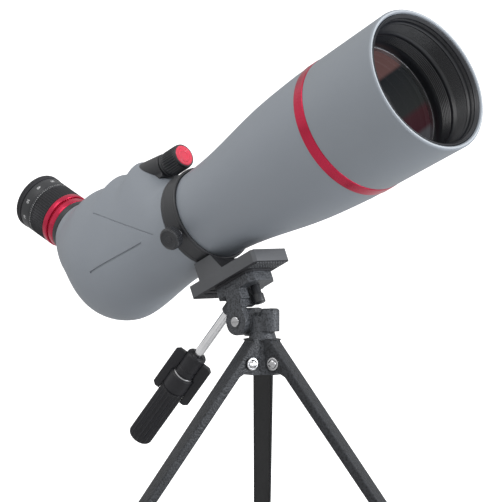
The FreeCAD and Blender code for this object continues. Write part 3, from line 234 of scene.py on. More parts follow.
def anodised(name, colour, rough=0.25):
    """Dyed aluminium with fine turning marks."""
    n = Nodes(name)
    broad = n.noise(60.0, 2.0)
    fine = n.noise(2600.0, 2.0)
    tone = n.mix(broad, tint(colour, 0.85), tint(colour, 1.15))
    roughness = n.level(fine, rough - 0.06, rough + 0.1)
    normal = n.bump(fine, 0.008 * MM, 0.2 * MM)
    return n.finish(Base_Color=tone, Roughness=roughness, Normal=normal, Metallic=0.85,
                    Coat_Weight=0.25, Coat_Roughness=0.2)


def bare_metal(name, colour, rough=0.22):
    """Plated or machined metal with fine scratches and a little tarnish."""
    n = Nodes(name)
    scratch = n.noise(1500.0, 6.0, 0.7)
    stain = n.noise(90.0, 3.0)
    tone = n.mix(stain, tint(colour, 0.8), tint(colour, 1.08))
    roughness = n.level(scratch, rough - 0.1, rough + 0.14)
    normal = n.bump(scratch, 0.01 * MM, 0.2 * MM)
    return n.finish(Base_Color=tone, Roughness=roughness, Normal=normal, Metallic=1.0)


def rubber(name, colour, rough=0.75):
    """Matt rubber with a fine tooth and dusty high spots."""
    n = Nodes(name)
    tooth = n.noise(1800.0, 5.0, 0.65)
    dust = n.noise(45.0, 4.0, 0.6)
    tone = n.mix(n.window(dust, 0.45, 0.8), colour, tint(colour, 1.7))
    roughness = n.level(tooth, rough - 0.08, rough + 0.12)
    normal = n.bump(tooth, 0.035 * MM, 0.3 * MM)
    return n.finish(Base_Color=tone, Roughness=roughness, Normal=normal, Specular_IOR_Level=0.35)


def glass(name, colour, rough=0.02):
    """Polished clear glass."""
    n = Nodes(name)
    smear = n.noise(40.0, 3.0)
    return n.finish(Base_Color=(*colour, 1.0), Roughness=n.level(smear, rough, rough + 0.04),
                    Transmission_Weight=0.9, IOR=1.52)


def painted_reflection_lens(name):
    """Dark objective glass with painted reflections: amber, green and red glow that stands in for what its coating
    reflects.

    The painted reflections are glowing bands across a slanting line over the glass. The line's unit is 100 mm, and
    the lens's middle stands at 0.5.
    """
    n = Nodes(name)
    across = Vector(TUBE.col[1][:3])
    up = Vector(TUBE.col[2][:3])
    slanting = (across * 0.405 - up * 0.92) * 10.0
    slant = n.math("ADD", n.dot(n.place, slanting), 0.5 - slanting.dot(TUBE.translation))
    # Colours of the painted reflections, band by band along the slant.
    tone = n.ramp(slant, [(0.0, (0.095, 0.05, 0.046)), (0.33, (0.11, 0.058, 0.054)),
                          (0.355, (0.012, 0.014, 0.015)), (0.62, (0.022, 0.024, 0.023)),
                          (0.66, (0.042, 0.014, 0.017)), (0.76, (0.038, 0.011, 0.015)),
                          (0.79, (0.055, 0.055, 0.06)), (1.0, (0.05, 0.05, 0.055))])
    # The reflections are painted in as emission; the base colour stays near black.
    return n.finish(Base_Color=(0.004, 0.004, 0.005, 1.0),
                    Roughness=n.level(n.noise(40.0), 0.05, 0.1), Specular_IOR_Level=0.12,
                    Emission_Color=tone, Emission_Strength=0.9)


PAINT = {
    "body_coating": moulded("body_coating", (0.224, 0.245, 0.274), grain=2400.0,
                            depth=0.012, edge=0.1, spread=0.03),
    "rim_paint": moulded("rim_paint", (0.215, 0.236, 0.262), rough=0.45, grain=2400.0, depth=0.012,
                         edge=0.35, spread=0.03),
    "red_anodised": anodised("red_anodised", (0.5, 0.014, 0.055)),
    "black_satin": moulded("black_satin", (0.02, 0.021, 0.024), rough=0.4, grain=1600.0,
                           depth=0.02),
    "baffle_black": moulded("baffle_black", (0.012, 0.013, 0.016), rough=0.3, grain=1500.0,
                            depth=0.02),
    "black_rubber": rubber("black_rubber", (0.022, 0.022, 0.025)),
    "grip_ring": rubber("grip_ring", (0.028, 0.028, 0.031)),
    "coated_glass": painted_reflection_lens("coated_glass"),
    "prism_glass": glass("prism_glass", (0.85, 0.9, 0.88)),
    "foot_grey": moulded("foot_grey", (0.075, 0.078, 0.084), grain=1400.0, edge=0.5),
    "hammered_grey": hammered("hammered_grey", (0.034, 0.036, 0.04)),
    "leg_paint": hammered("leg_paint", (0.015, 0.016, 0.018)),
    "bright_steel": bare_metal("bright_steel", (0.5, 0.5, 0.51)),
    "chrome_rod": bare_metal("chrome_rod", (0.82, 0.82, 0.83), rough=0.14),
    "handle_black": moulded("handle_black", (0.015, 0.015, 0.018), rough=0.42, grain=900.0,
                            depth=0.03, edge=0.35, specular=0.3),
    # Lighter paint for the hood's lip ring: a painted highlight.
    "painted_rim_highlight": moulded("painted_rim_highlight", (0.36, 0.385, 0.41), rough=0.4, depth=0.01, edge=0.5),
    "leg_inside": moulded("leg_inside", (0.006, 0.006, 0.007), rough=0.35, grain=500.0, depth=0.02),
    "white_mark": moulded("white_mark", (0.75, 0.75, 0.76)),
    "red_gloss": moulded("red_gloss", (0.8, 0.035, 0.085), rough=0.22, depth=0.01, specular=0.7),
    "inner_aluminium": bare_metal("inner_aluminium", (0.5, 0.5, 0.52), rough=0.35),
}

# Each CAD node's material slot, as the record gives it.
SLOTS = {part["node"]: part["material_slot"] for part in frame["record"]["subparts"]}


def paint_cad_nodes():
    """Give every CAD node its slot's material."""
    for name, node in frame["nodes"].items():
        node.data.materials.clear()
        node.data.materials.append(PAINT[SLOTS[name]])


paint_cad_nodes()


# --- Mesh builders. Outlines and sizes inside a local frame are in millimetres.

def local_points(node, matrix):
    """A CAD node's vertices in a local frame, in millimetres."""
    inverse = matrix.inverted()
    return [(inverse @ vertex.co) / MM for vertex in frame["nodes"][node].data.vertices]


def reach(node, matrix):
    """Where a turned CAD node starts and ends along local X, and its outer radius."""
    points = local_points(node, matrix)
    along = [point.x for point in points]
    radius = max(math.hypot(point.y, point.z) for point in points)
    return min(along), max(along), radius


def corners_of(node, matrix):
    """Lowest and highest corner of a CAD node in a local frame, in millimetres."""
    points = local_points(node, matrix)
    low = Vector(min(point[axis] for point in points) for axis in range(3))
    high = Vector(max(point[axis] for point in points) for axis in range(3))
    return low, high


def rounded(outline, radius=0.35, steps=3, closed=True):
    """The outline with each corner rounded by a short curve."""
    count = len(outline)
    most = 0.45
    result = []
    for i, here in enumerate(outline):
        corner = Vector(here)
        back = Vector(outline[i - 1]) - corner
        ahead = Vector(outline[(i + 1) % count]) - corner
        open_end = not closed and i in (0, count - 1)
        if open_end or min(back.length, ahead.length, corner.y) < NEAR_ZERO:
            result.append(here)
            continue
        trim = min(radius, back.length * most, ahead.length * most)
        start = corner + back.normalized() * trim
        end = corner + ahead.normalized() * trim
        for step in range(steps + 1):
            t = step / steps
            point = start * (1 - t) ** 2 + corner * 2 * t * (1 - t) + end * t * t
            result.append((point.x, point.y))
    return result


def new_piece(name, mesh, body, slot, replaces=(), sharp=40.0):
    """Object for a finished mesh: smooth shaded, painted, riding on a body."""
    mesh.polygons.foreach_set("use_smooth", [True] * len(mesh.polygons))
    mesh.set_sharp_from_angle(angle=math.radians(sharp))
    mesh.materials.append(PAINT[slot])
    piece = bpy.data.objects.new(name, mesh)
    bpy.context.scene.collection.objects.link(piece)
    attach(piece, body)
    if replaces:
        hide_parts(*replaces)
    return piece


def mesh_from(grid, name, matrix):
    """Mesh from a bmesh built in local millimetres, carried to its place."""
    bmesh.ops.remove_doubles(grid, verts=grid.verts, dist=WELD_GAP)
    bmesh.ops.recalc_face_normals(grid, faces=grid.faces)
    grid.transform(matrix @ Matrix.Scale(MM, 4))
    mesh = bpy.data.meshes.new(name)
    grid.to_mesh(mesh)
    grid.free()
    return mesh


def turned(grid, outline, steps=96, shape=None, closed=True):
    """Surface of revolution about local X; shape(x, radius, angle) may move the radius."""
    rings = []
    for x, radius in outline:
        if radius < NEAR_ZERO:
            rings.append([grid.verts.new((x, 0, 0))] * steps)
            continue
        ring = []
        for step in range(steps):
            angle = 2 * math.pi * step / steps
            r = shape(x, radius, angle) if shape else radius
            ring.append(grid.verts.new((x, r * math.sin(angle), r * math.cos(angle))))
        rings.append(ring)
    count = len(rings)
    for i in range(count if closed else count - 1):
        first, second = rings[i], rings[(i + 1) % count]
        for step in range(steps):
            following = (step + 1) % steps
            corners = [first[step], first[following], second[following], second[step]]
            unique = list(dict.fromkeys(corners))
            if len(unique) > 2:
                grid.faces.new(unique)


def lathe(name, outline, matrix, body, slot, replaces=(), steps=96, shape=None, fillet=0.35,
          closed=True, sharp=40.0):
    """Turned piece, with its corners rounded by a fillet or left as they are by a fillet of 0."""
    if fillet:
        outline = rounded(outline, fillet, closed=closed)
    grid = bmesh.new()
    turned(grid, outline, steps, shape, closed)
    return new_piece(name, mesh_from(grid, name, matrix), body, slot, replaces, sharp)


def between(first, last, count):
    """Evenly spaced stations from first to last."""
    return [first + (last - first) * i / (count - 1) for i in range(count)]


def flutes(count, depth, start, end, floor, power=1.0):
    """Shape for turned(): grooves along the axis between two stations, fading at the ends."""
    run_out = 0.6

    def shape(x, radius, angle):
        if radius < floor or x < start or x > end:
            return radius
        fade = min(1.0, (x - start) / run_out, (end - x) / run_out)
        wave = (0.5 - 0.5 * math.cos(count * angle)) ** power
        return radius - depth * wave * fade
    return shape


# --- Local frames of the turned groups. Stations along each axis are in millimetres.

def axis_frame(joint, station, up=(0, 0, 1)):
    """Frame on a joint's axis whose zero lies a station's length behind the joint's place."""
    return joint_frame(joint, up) @ Matrix.Translation((-station * MM, 0, 0))


EYE = axis_frame("zoom_turn", 82.0)
FOCUS = axis_frame("focus_turn", -15.0)
THUMB = axis_frame("thumb_screw_turn", 38.0)
HANDLE = axis_frame("handle_turn", 0.0, up=(0.385, -0.8415, -0.3785))


# --- Hood, sleeve and lens mouth

TUBE_BORE = 45.4
FINE_STEPS = 192


def ridges(start, end, radius_start, radius_end, pitch, depth):
    """Saw-tooth outline points of fine rings between two stations."""
    count = max(1, round(abs(end - start) / pitch))
    points = []
    for i in range(count):
        for share, lift in ((0.0, 0.0), (0.5, depth)):
            t = (i + share) / count
            radius = radius_start + (radius_end - radius_start) * t
            points.append((start + (end - start) * t, radius + lift))
    return points


def make_hood():
    """Hood, with a rim that rolls over at the front."""
    back, front, radius = reach("front_barrel", TUBE)
    root = 47.95
    bore = 47.0
    bore_back = 180.0
    lip = 1.1
    outline = rounded([
        (bore_back, TUBE_BORE), (back, TUBE_BORE), (back, root), (back + 19.5, root + 0.6),
        (front - lip, radius), (front, radius - lip * 0.8), (front, bore + 0.9),
        (front - 0.9, bore), (bore_back, bore)], 0.6, 4)
    lathe("hood", outline, TUBE, "scope_tube", "rim_paint", ["front_barrel"], FINE_STEPS, fillet=0,
          sharp=50)


def make_lip():
    """Lighter ring at the hood's front edge: a painted highlight where the paint catches the light."""
    front, radius = reach("front_barrel", TUBE)[1:]
    lathe("hood_lip", [(front - 0.9, radius - 0.75), (front + 0.02, radius - 1.0),
                       (front + 0.02, radius - 2.0), (front - 0.9, radius - 2.6)],
          TUBE, "scope_tube", "painted_rim_highlight", (), FINE_STEPS, fillet=0.25)


def make_sleeve():
    """Dark stepped sleeve inside the hood, with fine rings that stop stray light."""
    back, front, radius = reach("front_baffle", TUBE)
    outside = 46.6
    mouth = 44.2
    step = 209.5
    ledge = 43.0
    throat = 41.4
    aperture = 40.6
    outline = [(back, aperture), (back, radius), (back + 6.0, radius), (back + 6.0, outside),
               (front - 0.4, outside), (front, 46.2), (front, 45.8), (front - 0.8, 45.2),
               (front - 1.3, mouth + 0.3), (front - 1.8, mouth)]
    outline += ridges(front - 2.4, step + 1.6, mouth, mouth - 0.2, 0.8, 0.3)
    outline += [(step + 1.0, mouth - 0.2), (step + 0.4, mouth - 0.4), (step, ledge + 0.4),
                (step - 0.5, ledge)]
    outline += ridges(step - 1.0, step - 11.0, ledge, ledge - 0.3, 0.8, 0.45)
    outline += [(step - 11.4, ledge - 0.5), (step - 12.0, throat + 0.5), (step - 12.8, throat)]
    outline += ridges(step - 14.0, back + 6.0, throat, throat - 0.3, 1.4, 0.5)
    outline += [(back + 5.2, aperture + 0.2), (back + 4.0, aperture)]
    lathe("hood_sleeve", outline, TUBE, "scope_tube", "baffle_black", ["front_baffle"], FINE_STEPS,
          fillet=0, sharp=35)


def make_trim():
    """Red ring between the tube and the hood."""
    back, front, radius = reach("red_trim_ring", TUBE)
    lathe("tube_red_ring", [(back, TUBE_BORE), (back, radius - 0.25), (back + 0.5, radius),
                            (front - 0.5, radius), (front, radius - 0.25), (front, TUBE_BORE)],
          TUBE, "scope_tube", "red_anodised", ["red_trim_ring"], FINE_STEPS, fillet=0.25)


# --- Eyepiece

EYE_BORE = 16.5
SLIDE_BORE = EYE_BORE + 0.05
EYE_STEPS = 128


def make_red_ring():
    """Two red rings with a groove between them, and the black collar they stand on."""
    back, front, radius = reach("eyepiece_red_ring", EYE)
    groove = back + 5.0
    low_ring = 19.0
    floor = 18.2
    outline = [(back, EYE_BORE), (back, low_ring - 0.4), (back + 0.5, low_ring),
               (groove - 0.4, low_ring), (groove, low_ring - 0.4), (groove, floor),
               (groove + 1.0, floor), (groove + 1.0, radius - 0.5), (groove + 1.5, radius),
               (front - 0.5, radius), (front, radius - 0.5), (front, EYE_BORE)]
    lathe("eyepiece_red_rings", outline, EYE, "scope_tube", "red_anodised", ["eyepiece_red_ring"],
          EYE_STEPS, fillet=0.3)
    back, front, radius = reach("eyepiece_base_collar", EYE)
    lathe("eyepiece_collar", [(back, EYE_BORE), (back, radius), (back + 0.6, radius),
                              (back + 0.9, radius - 0.35), (back + 1.4, radius - 0.35),
                              (back + 1.7, radius), (front - 0.3, radius), (front, radius - 0.3),
                              (front, EYE_BORE)],
          EYE, "scope_tube", "black_satin", ["eyepiece_base_collar"], EYE_STEPS, fillet=0.15)


def make_zoom_ring():
    """Ribbed rubber ring that sets the zoom."""
    back, front, radius = reach("zoom_ring", EYE)
    ribs = 64
    outline = [(back, SLIDE_BORE), (back, radius - 0.5), (back + 0.4, radius)]
    outline += [(x, radius) for x in between(back + 1.1, front - 1.1, 9)]
    outline += [(front - 0.4, radius), (front, radius - 0.5), (front, SLIDE_BORE)]
    lathe("zoom_grip_ring", outline, EYE, "zoom_grip", "grip_ring", ["zoom_ring"], ribs * 8,
          flutes(ribs, 0.75, back + 0.5, front - 0.5, SLIDE_BORE + 1, 0.7), fillet=0, sharp=30)


def wrap_text(text, size, station, turn, radius):
    """Mesh of a number laid on the eyepiece's outside."""
    curve = bpy.data.curves.new("digits", "FONT")
    curve.body = text
    curve.size = size
    curve.align_x = "CENTER"
    curve.align_y = "CENTER"
    letter = bpy.data.objects.new("digits", curve)
    mesh = bpy.data.meshes.new_from_object(letter)
    bpy.data.objects.remove(letter)
    for vertex in mesh.vertices:
        angle = turn + vertex.co.x / radius
        vertex.co = (station - vertex.co.y, radius * math.sin(angle), radius * math.cos(angle))
    return mesh


def make_band():
    """Plain band of the eyepiece, with a scale of zoom powers."""
    back, front, radius = reach("eyepiece_band", EYE)
    pocket = 18.4
    outline = [(back, EYE_BORE), (back, radius - 0.3), (back + 0.3, radius), (back + 2.2, radius),
               (back + 2.4, radius - 0.25), (back + 3.0, radius - 0.25), (back + 3.2, radius),
               (front - 0.8, radius), (front, radius - 0.6), (front, pocket),
               (back + 2.0, pocket), (back + 2.0, EYE_BORE)]
    lathe("eyepiece_scale_band", outline, EYE, "scope_tube", "black_satin", ["eyepiece_band"],
          EYE_STEPS, fillet=0.2)
    grid = bmesh.new()
    raised = radius + 0.02
    middle = (back + front) / 2 + 1.2
    numbers = ("20", "30", "40", "50", "60")
    first = math.radians(-30)
    spacing = math.radians(36)
    digit_size = 3.0
    for i, number in enumerate(numbers):
        mesh = wrap_text(number, digit_size, middle, first + spacing * i, raised)
        grid.from_mesh(mesh)
        bpy.data.meshes.remove(mesh)
    ticks = 40
    wide = 0.012
    for i in range(ticks):
        turn = first - spacing / 2 + spacing * len(numbers) * i / ticks
        tall = 0.9 if i % 4 == 0 else 0.5
        corners = []
        for along, side in ((0, -1), (0, 1), (tall, 1), (tall, -1)):
            angle = turn + side * wide / 2
            corners.append(grid.verts.new(
                (back + 0.6 + along, raised * math.sin(angle), raised * math.cos(angle))))
        grid.faces.new(corners)
    new_piece("eyepiece_scale_marks", mesh_from(grid, "eyepiece_scale_marks", EYE), "scope_tube",
              "white_mark")


def make_eyecup():
    """Rubber eyecup that slides in the band."""
    back, front, radius = reach("eyecup", EYE)
    brim = reach("eyepiece_band", EYE)[1] + 0.1
    neck = 18.35
    mouth = 13.0
    fold = brim + 2.1
    outline = [(back, SLIDE_BORE), (back, neck), (brim, neck), (brim, radius - 0.5),
               (brim + 0.5, radius), (fold, radius), (fold + 0.25, radius - 0.35),
               (fold + 0.5, radius), (front - 1.6, radius), (front - 0.5, radius - 0.6),
               (front, radius - 1.9), (front, mouth + 4.2), (front - 0.7, mouth + 2.2),
               (front - 2.2, mouth), (front - 4.0, mouth), (front - 5.5, mouth + 1.0),
               (front - 5.5, SLIDE_BORE)]
    lathe("eyecup_rubber", outline, EYE, "eyecup", "black_rubber", ["eyecup"], EYE_STEPS,
          fillet=0.5, sharp=60)


# --- Focus wheel

def make_focus_wheel():
    """Fluted wheel with a waist at its back and a red cap in its front."""
    back, front, radius = reach("focus_knob", FOCUS)
    ribs = 30
    bore = 2.5
    waist = back + 2.2
    outline = [(back, bore), (back, radius - 1.0), (back + 0.6, radius - 0.2),
               (back + 1.6, radius - 0.2), (waist, radius - 1.0), (waist + 0.7, radius - 1.0),
               (waist + 1.2, radius - 0.1)]
    outline += [(x, radius) for x in between(waist + 1.6, front - 1.0, 9)]
    outline += [(front - 0.3, radius - 0.2), (front, radius - 0.5), (front, bore)]
    lathe("focus_wheel_grip", outline, FOCUS, "focus_wheel", "black_satin", ["focus_knob"],
          ribs * 8, flutes(ribs, 0.8, waist + 1.3, front - 0.5, radius - 0.5, 0.8), fillet=0,
          sharp=35)
    back, front, radius = reach("focus_knob_cap", FOCUS)
    black_rim = 8.4
    lathe("focus_rim", [(back, radius - 0.9), (back, black_rim), (front - 0.9, black_rim + 0.2),
                        (front - 0.4, black_rim - 0.2), (front - 0.4, radius - 0.9)],
          FOCUS, "focus_wheel", "black_satin", (), 96, fillet=0.2)
    radius -= 0.7
    cap = [(back, 0), (back, radius), (front - 0.5, radius), (front, radius - 0.5),
           (front, 5.6), (front - 0.35, 5.3), (front - 0.35, 4.9), (front, 4.6), (front, 3.4),
           (front - 0.5, 2.9), (front - 0.6, 0)]
    lathe("focus_red_cap", cap, FOCUS, "focus_wheel", "red_gloss", ["focus_knob_cap"], 96,
          fillet=0.25, closed=False)


# --- Clamp collar, thumb screw and prism housing

def make_collar():
    """Clamp ring with a shallow channel round it."""
    back, front, radius = reach("collar_ring", TUBE)
    slimmer = 1.4
    radius -= slimmer
    bore = 32.45
    outline = [(back, bore), (back, radius - 0.7), (back + 0.7, radius), (back + 2.6, radius),
               (back + 2.9, radius - 0.25), (front - 2.9, radius - 0.25), (front - 2.6, radius),
               (front - 0.7, radius), (front, radius - 0.7), (front, bore)]
    lathe("clamp_collar", outline, TUBE, "platform", "black_satin", ["collar_ring"], FINE_STEPS,
          fillet=0.3)


def make_thumb_knob():
    """Thumb screw of the collar: a fluted knob with a dished face, and its thread."""
    back, front, radius = reach("collar_knob", THUMB)
    ribs = 36
    bore = 3.0
    outline = [(back, bore), (back, radius - 1.6), (back + 0.9, radius - 0.2)]
    outline += [(x, radius) for x in between(back + 1.3, front - 1.3, 6)]
    outline += [(front - 0.8, radius - 0.4), (front - 0.2, radius - 1.1), (front, radius - 1.6),
                (front - 0.5, radius - 2.1), (front - 0.9, radius - 3.0), (front - 1.0, 2.6),
                (front - 0.6, 2.2), (front - 0.6, 0), (back + 3.0, 0), (back + 3.0, bore)]
    lathe("thumb_knob", outline, THUMB, "thumb_screw", "black_satin", ["collar_knob"], ribs * 10,
          flutes(ribs, 0.4, back + 0.6, front - 0.3, radius - 0.5), fillet=0, sharp=35)
    back, front, radius = reach("collar_screw", THUMB)
    outline = [(back, 0), (back, radius - 0.8), (back + 0.3, radius - 0.5)]
    outline += ridges(back + 0.4, front - 0.2, radius - 0.4, radius - 0.4, 0.7, 0.4)
    outline += [(front, radius - 0.3), (front, 0)]
    lathe("thumb_thread", outline, THUMB, "thumb_screw", "bright_steel", ["collar_screw"], 48,
          fillet=0, closed=False, sharp=20)


def engraving(tree, start, end, wide, deep):
    """Cutter that follows the housing's near side between two (station, height) points."""
    grid = bmesh.new()
    steps = 40
    outside = -70.0
    along = (Vector(end) - Vector(start)).normalized()
    side = Vector((-along.y, along.x)) * wide / 2
    toward = (TUBE.to_3x3() @ Vector((0, 1, 0))).normalized()
    rings = []
    for step in range(steps + 1):
        station, height = Vector(start).lerp(Vector(end), step / steps)
        ring = []
        for shift, depth in ((-1.5, -1.2), (1.5, -1.2), (0.8, deep), (-0.8, deep)):
            local = Vector((station + side.x * shift, outside, height + side.y * shift))
            hit = tree.ray_cast(TUBE @ (local * MM), toward)[0]
            point = (TUBE.inverted() @ hit) / MM
            ring.append(grid.verts.new((point.x, point.y + depth, point.z)))
        rings.append(ring)
    for first, second in zip(rings, rings[1:]):
        for i in range(4):
            following = (i + 1) % 4
            grid.faces.new((first[i], first[following], second[following], second[i]))
    grid.faces.new(rings[0])
    grid.faces.new(list(reversed(rings[-1])))
    return mesh_from(grid, "cutter", TUBE)


def carve(piece, cutter_mesh):
    """Cut a mesh out of a piece for good."""
    cutter = bpy.data.objects.new("cutter", cutter_mesh)
    bpy.context.scene.collection.objects.link(cutter)
    cut = piece.modifiers.new("carving", "BOOLEAN")
    cut.operation = "DIFFERENCE"
    cut.solver = "EXACT"
    cut.object = cutter
    bpy.context.view_layer.update()
    graph = bpy.context.evaluated_depsgraph_get()
    carved = bpy.data.meshes.new_from_object(piece.evaluated_get(graph))
    piece.modifiers.clear()
    piece.data = carved
    bpy.data.objects.remove(cutter)


def welded(node):
    """Copy of a CAD node's mesh as a bmesh with its seams closed."""
    grid = bmesh.new()
    grid.from_mesh(frame["nodes"][node].data)
    bmesh.ops.remove_doubles(grid, verts=grid.verts, dist=0.002 * MM)
    bmesh.ops.dissolve_degenerate(grid, edges=grid.edges, dist=0.001 * MM)
    return grid


def to_mesh(grid, name):
    """Plain mesh from a bmesh that already stands in the row frame."""
    bmesh.ops.recalc_face_normals(grid, faces=grid.faces)
    mesh = bpy.data.meshes.new(name)
    grid.to_mesh(mesh)
    grid.free()
    return mesh


def make_housing():
    """Prism housing with two engraved lines on its near side."""
    grid = welded("prism_housing")
    tree = BVHTree.FromBMesh(grid)
    piece = new_piece("housing_shell", to_mesh(grid, "housing_shell"), "scope_tube",
                      "body_coating", ["prism_housing"], 30)
    for start, end, wide, deep in (((-78.1, 35.1), (-25.5, -3.7), 0.7, 0.45),
                                   ((-91.0, -4.0), (-38.9, -4.2), 1.3, 0.8)):
        carve(piece, engraving(tree, start, end, wide, deep))


# --- Castings and pressed parts

def softened(node, name, body, slot, width, bends=None, bend_radius=0.0):
    """Copy of a CAD node with flat faces joined, sharp edges rounded and its bends rounded more."""
    turn = math.radians(28.0)
    grid = welded(node)
    bmesh.ops.dissolve_limit(grid, angle_limit=math.radians(0.6), verts=grid.verts,
                             edges=grid.edges)
    if bends:
        picked = [edge for edge in grid.edges if edge.calc_face_angle(0.0) > turn
                  and all(bends(vertex.co) for vertex in edge.verts)]
        bmesh.ops.bevel(grid, geom=picked, offset=bend_radius * MM, offset_type="OFFSET",
                        segments=5, profile=0.5, affect="EDGES", clamp_overlap=True)
    sharp = [edge for edge in grid.edges
             if len(edge.link_faces) == 2 and edge.calc_face_angle(0.0) > turn]
    bmesh.ops.bevel(grid, geom=sharp, offset=width * MM, offset_type="OFFSET", segments=3,
                    profile=0.5, affect="EDGES", clamp_overlap=True)
    return new_piece(name, to_mesh(grid, name), body, slot, [node], 50)


def cast(name, grid, body, slot, replaces, voxel, passes):
    """Piece with the soft edges and corners of a casting, from a bmesh in the row frame."""
    piece = new_piece(name, to_mesh(grid, name), body, slot, replaces, 180)
    grain = piece.modifiers.new("grain", "REMESH")
    grain.mode = "VOXEL"
    grain.voxel_size = voxel * MM
    grain.use_smooth_shade = True
    relax = piece.modifiers.new("relax", "SMOOTH")
    relax.factor = 0.5
    relax.iterations = passes
    return piece


def box_into(grid, matrix, low, high):
    """Box between two local corners, added to a bmesh."""
    middle = (Vector(low) + Vector(high)) / 2
    size = Vector(high) - Vector(low)
    place = matrix @ Matrix.Translation(middle) @ Matrix.Diagonal((*size, 1.0))
    bmesh.ops.create_cube(grid, size=1.0, matrix=place)


# Blocks that fill the arm in front of the platform's barrel, as opposite corners in the tube's
# frame.
ARM_TOP = -61.5
ARM_BLOCKS = (((9.8, -9.5, -72.8), (15.2, 1.2, ARM_TOP)),
              ((12.0, -13.5, -74.0), (15.2, -8.0, ARM_TOP)),
              ((12.0, -13.5, -68.5), (16.8, -5.2, ARM_TOP)))


def make_platform():
    """Tilting platform."""
    grid = welded("tilt_platform")
    for low, high in ARM_BLOCKS:
        box_into(grid, TUBE @ Matrix.Scale(MM, 4), low, high)
    cast("platform_casting", grid, "platform", "hammered_grey", ["tilt_platform"], 0.4, 5)


def make_pan_head():
    """Pan head with its stud pocket closed by a plug, and a skirt where it meets the hub."""
    upright = axes_frame((0, 0, 0), (0, 0, 1), (1, 0, 0))
    grid = welded("pan_head")
    plug = 4.9
    plug_low = 36.6
    plug_top = 42.2
    edge = 0.7
    add_turned(grid, [(plug_low, 0), (plug_low, plug), (plug_top - edge, plug),
                      (plug_top, plug - edge), (plug_top, 0)], upright @ Matrix.Scale(MM, 4))
    cast("pan_head_casting", grid, "pan_head", "hammered_grey", ["pan_head"], 0.4, 5)
    low = corners_of("pan_head", Matrix.Identity(4))[0].z
    neck = 8.0
    lathe("pan_head_skirt", [(low, neck), (low, neck + 1.6), (low + 1.2, neck + 1.4),
                             (low + 5.0, neck + 0.3), (low + 6.5, neck)],
          upright, "pan_head", "hammered_grey")


def make_foot():
    """Mounting foot, rubber below; the slope in front of the pedestal is also turned dark with the black rubber
    material.
    """
    foot = softened("mounting_foot", "foot_moulding", "platform", "foot_grey", 0.7)
    foot.data.materials.append(PAINT["black_rubber"])
    into_tube = TUBE.inverted()
    underside = -45.0
    pedestal_front = 2.8
    plate_top = -43.2
    for face in foot.data.polygons:
        normal = into_tube.to_3x3() @ face.normal
        centre = (into_tube @ face.center) / MM
        under = normal.z < -0.8 and centre.z < underside
        # The slope in front of the pedestal gets the dark rubber material as well.
        slope = normal.x > 0.3 and centre.x > pedestal_front and centre.z > plate_top
        if under or slope:
            face.material_index = 1


def make_castings():
    """Castings and mouldings that follow their CAD node."""
    make_platform()
    make_pan_head()
    cast("hub_casting", welded("tripod_hub"), "tripod_base", "hammered_grey", ["tripod_hub"],
         0.35, 4)
    make_foot()
    softened("platform_pad", "platform_rubber", "platform", "black_rubber", 0.35)
    softened("handle_wings", "handle_wing_plates", "pan_handle", "handle_black", 0.7)
    softened("camera_screw", "camera_wheel", "camera_screw", "black_satin", 0.3)


def make_saddle():
    """Focus saddle: a drum that narrows forward and flows down into the housing."""
    back = -45.6
    front = -24.6
    level = 47.0
    grid = bmesh.new()
    drum = [(back, 0), (back, 11.2), (back + 1.5, 11.4), (front - 0.6, 9.4), (front, 8.8),
            (front, 0)]
    add_turned(grid, drum, TUBE @ Matrix.Translation((0, 0, level * MM)) @ Matrix.Scale(MM, 4), 96)
    corners = []
    for station, half, foot in ((back, 13.2, 33.5), (front, 8.2, 39.5)):
        for height, spread in ((foot, 1.0), (level, 0.84)):
            for side in (-1, 1):
                corners.append(grid.verts.new(
                    TUBE @ (Vector((station, half * spread * side, height)) * MM)))
    for face in ((0, 1, 3, 2), (4, 5, 7, 6), (0, 1, 5, 4), (2, 3, 7, 6), (0, 2, 6, 4),
                 (1, 3, 7, 5)):
        grid.faces.new([corners[i] for i in face])
    cast("focus_saddle", grid, "scope_tube", "black_satin", ["focus_housing"], 0.4, 4)


def make_foot_tread():
    """Grid of small studs on the open part of the foot's underside."""
    low = corners_of("mounting_foot", TUBE)[0].z
    grid = bmesh.new()
    first = 32.0
    pitch = 2.5
    half = 0.75
    proud = 0.7
    sunk = 0.3
    for row in range(4):
        for column in range(-5, 6):
            station = first + row * pitch
            across = column * pitch
            box_into(grid, TUBE @ Matrix.Scale(MM, 4), (station - half, across - half, low - proud),
                     (station + half, across + half, low + sunk))
    new_piece("foot_tread", to_mesh(grid, "foot_tread"), "platform", "foot_grey", (), 30)


SIDES = ("right", "rear", "left")
LEG_SPREAD = math.radians(38.0)
LEG_SHOULDER = -8.0
LEG_CREST = 2.2
CHANNEL_BEND = 7.7


def leg_pivot(side):
    """Place and direction of a leg's pivot."""
    joint = JOINTS[side + "_leg_fold"]
    return Vector(joint["pos_m"]), Vector(joint["axis"]).normalized()


def leg_frame(side):
    """Frame of a leg, with X down the leg and Z outward from its web."""
    pivot, across = leg_pivot(side)
    out = Vector((pivot.x, pivot.y, 0)).normalized()
    down = out * math.sin(LEG_SPREAD) - Vector((0, 0, 1)) * math.cos(LEG_SPREAD)
    matrix = Matrix((down, across, down.cross(across))).transposed().to_4x4()
    matrix.translation = pivot
    return matrix


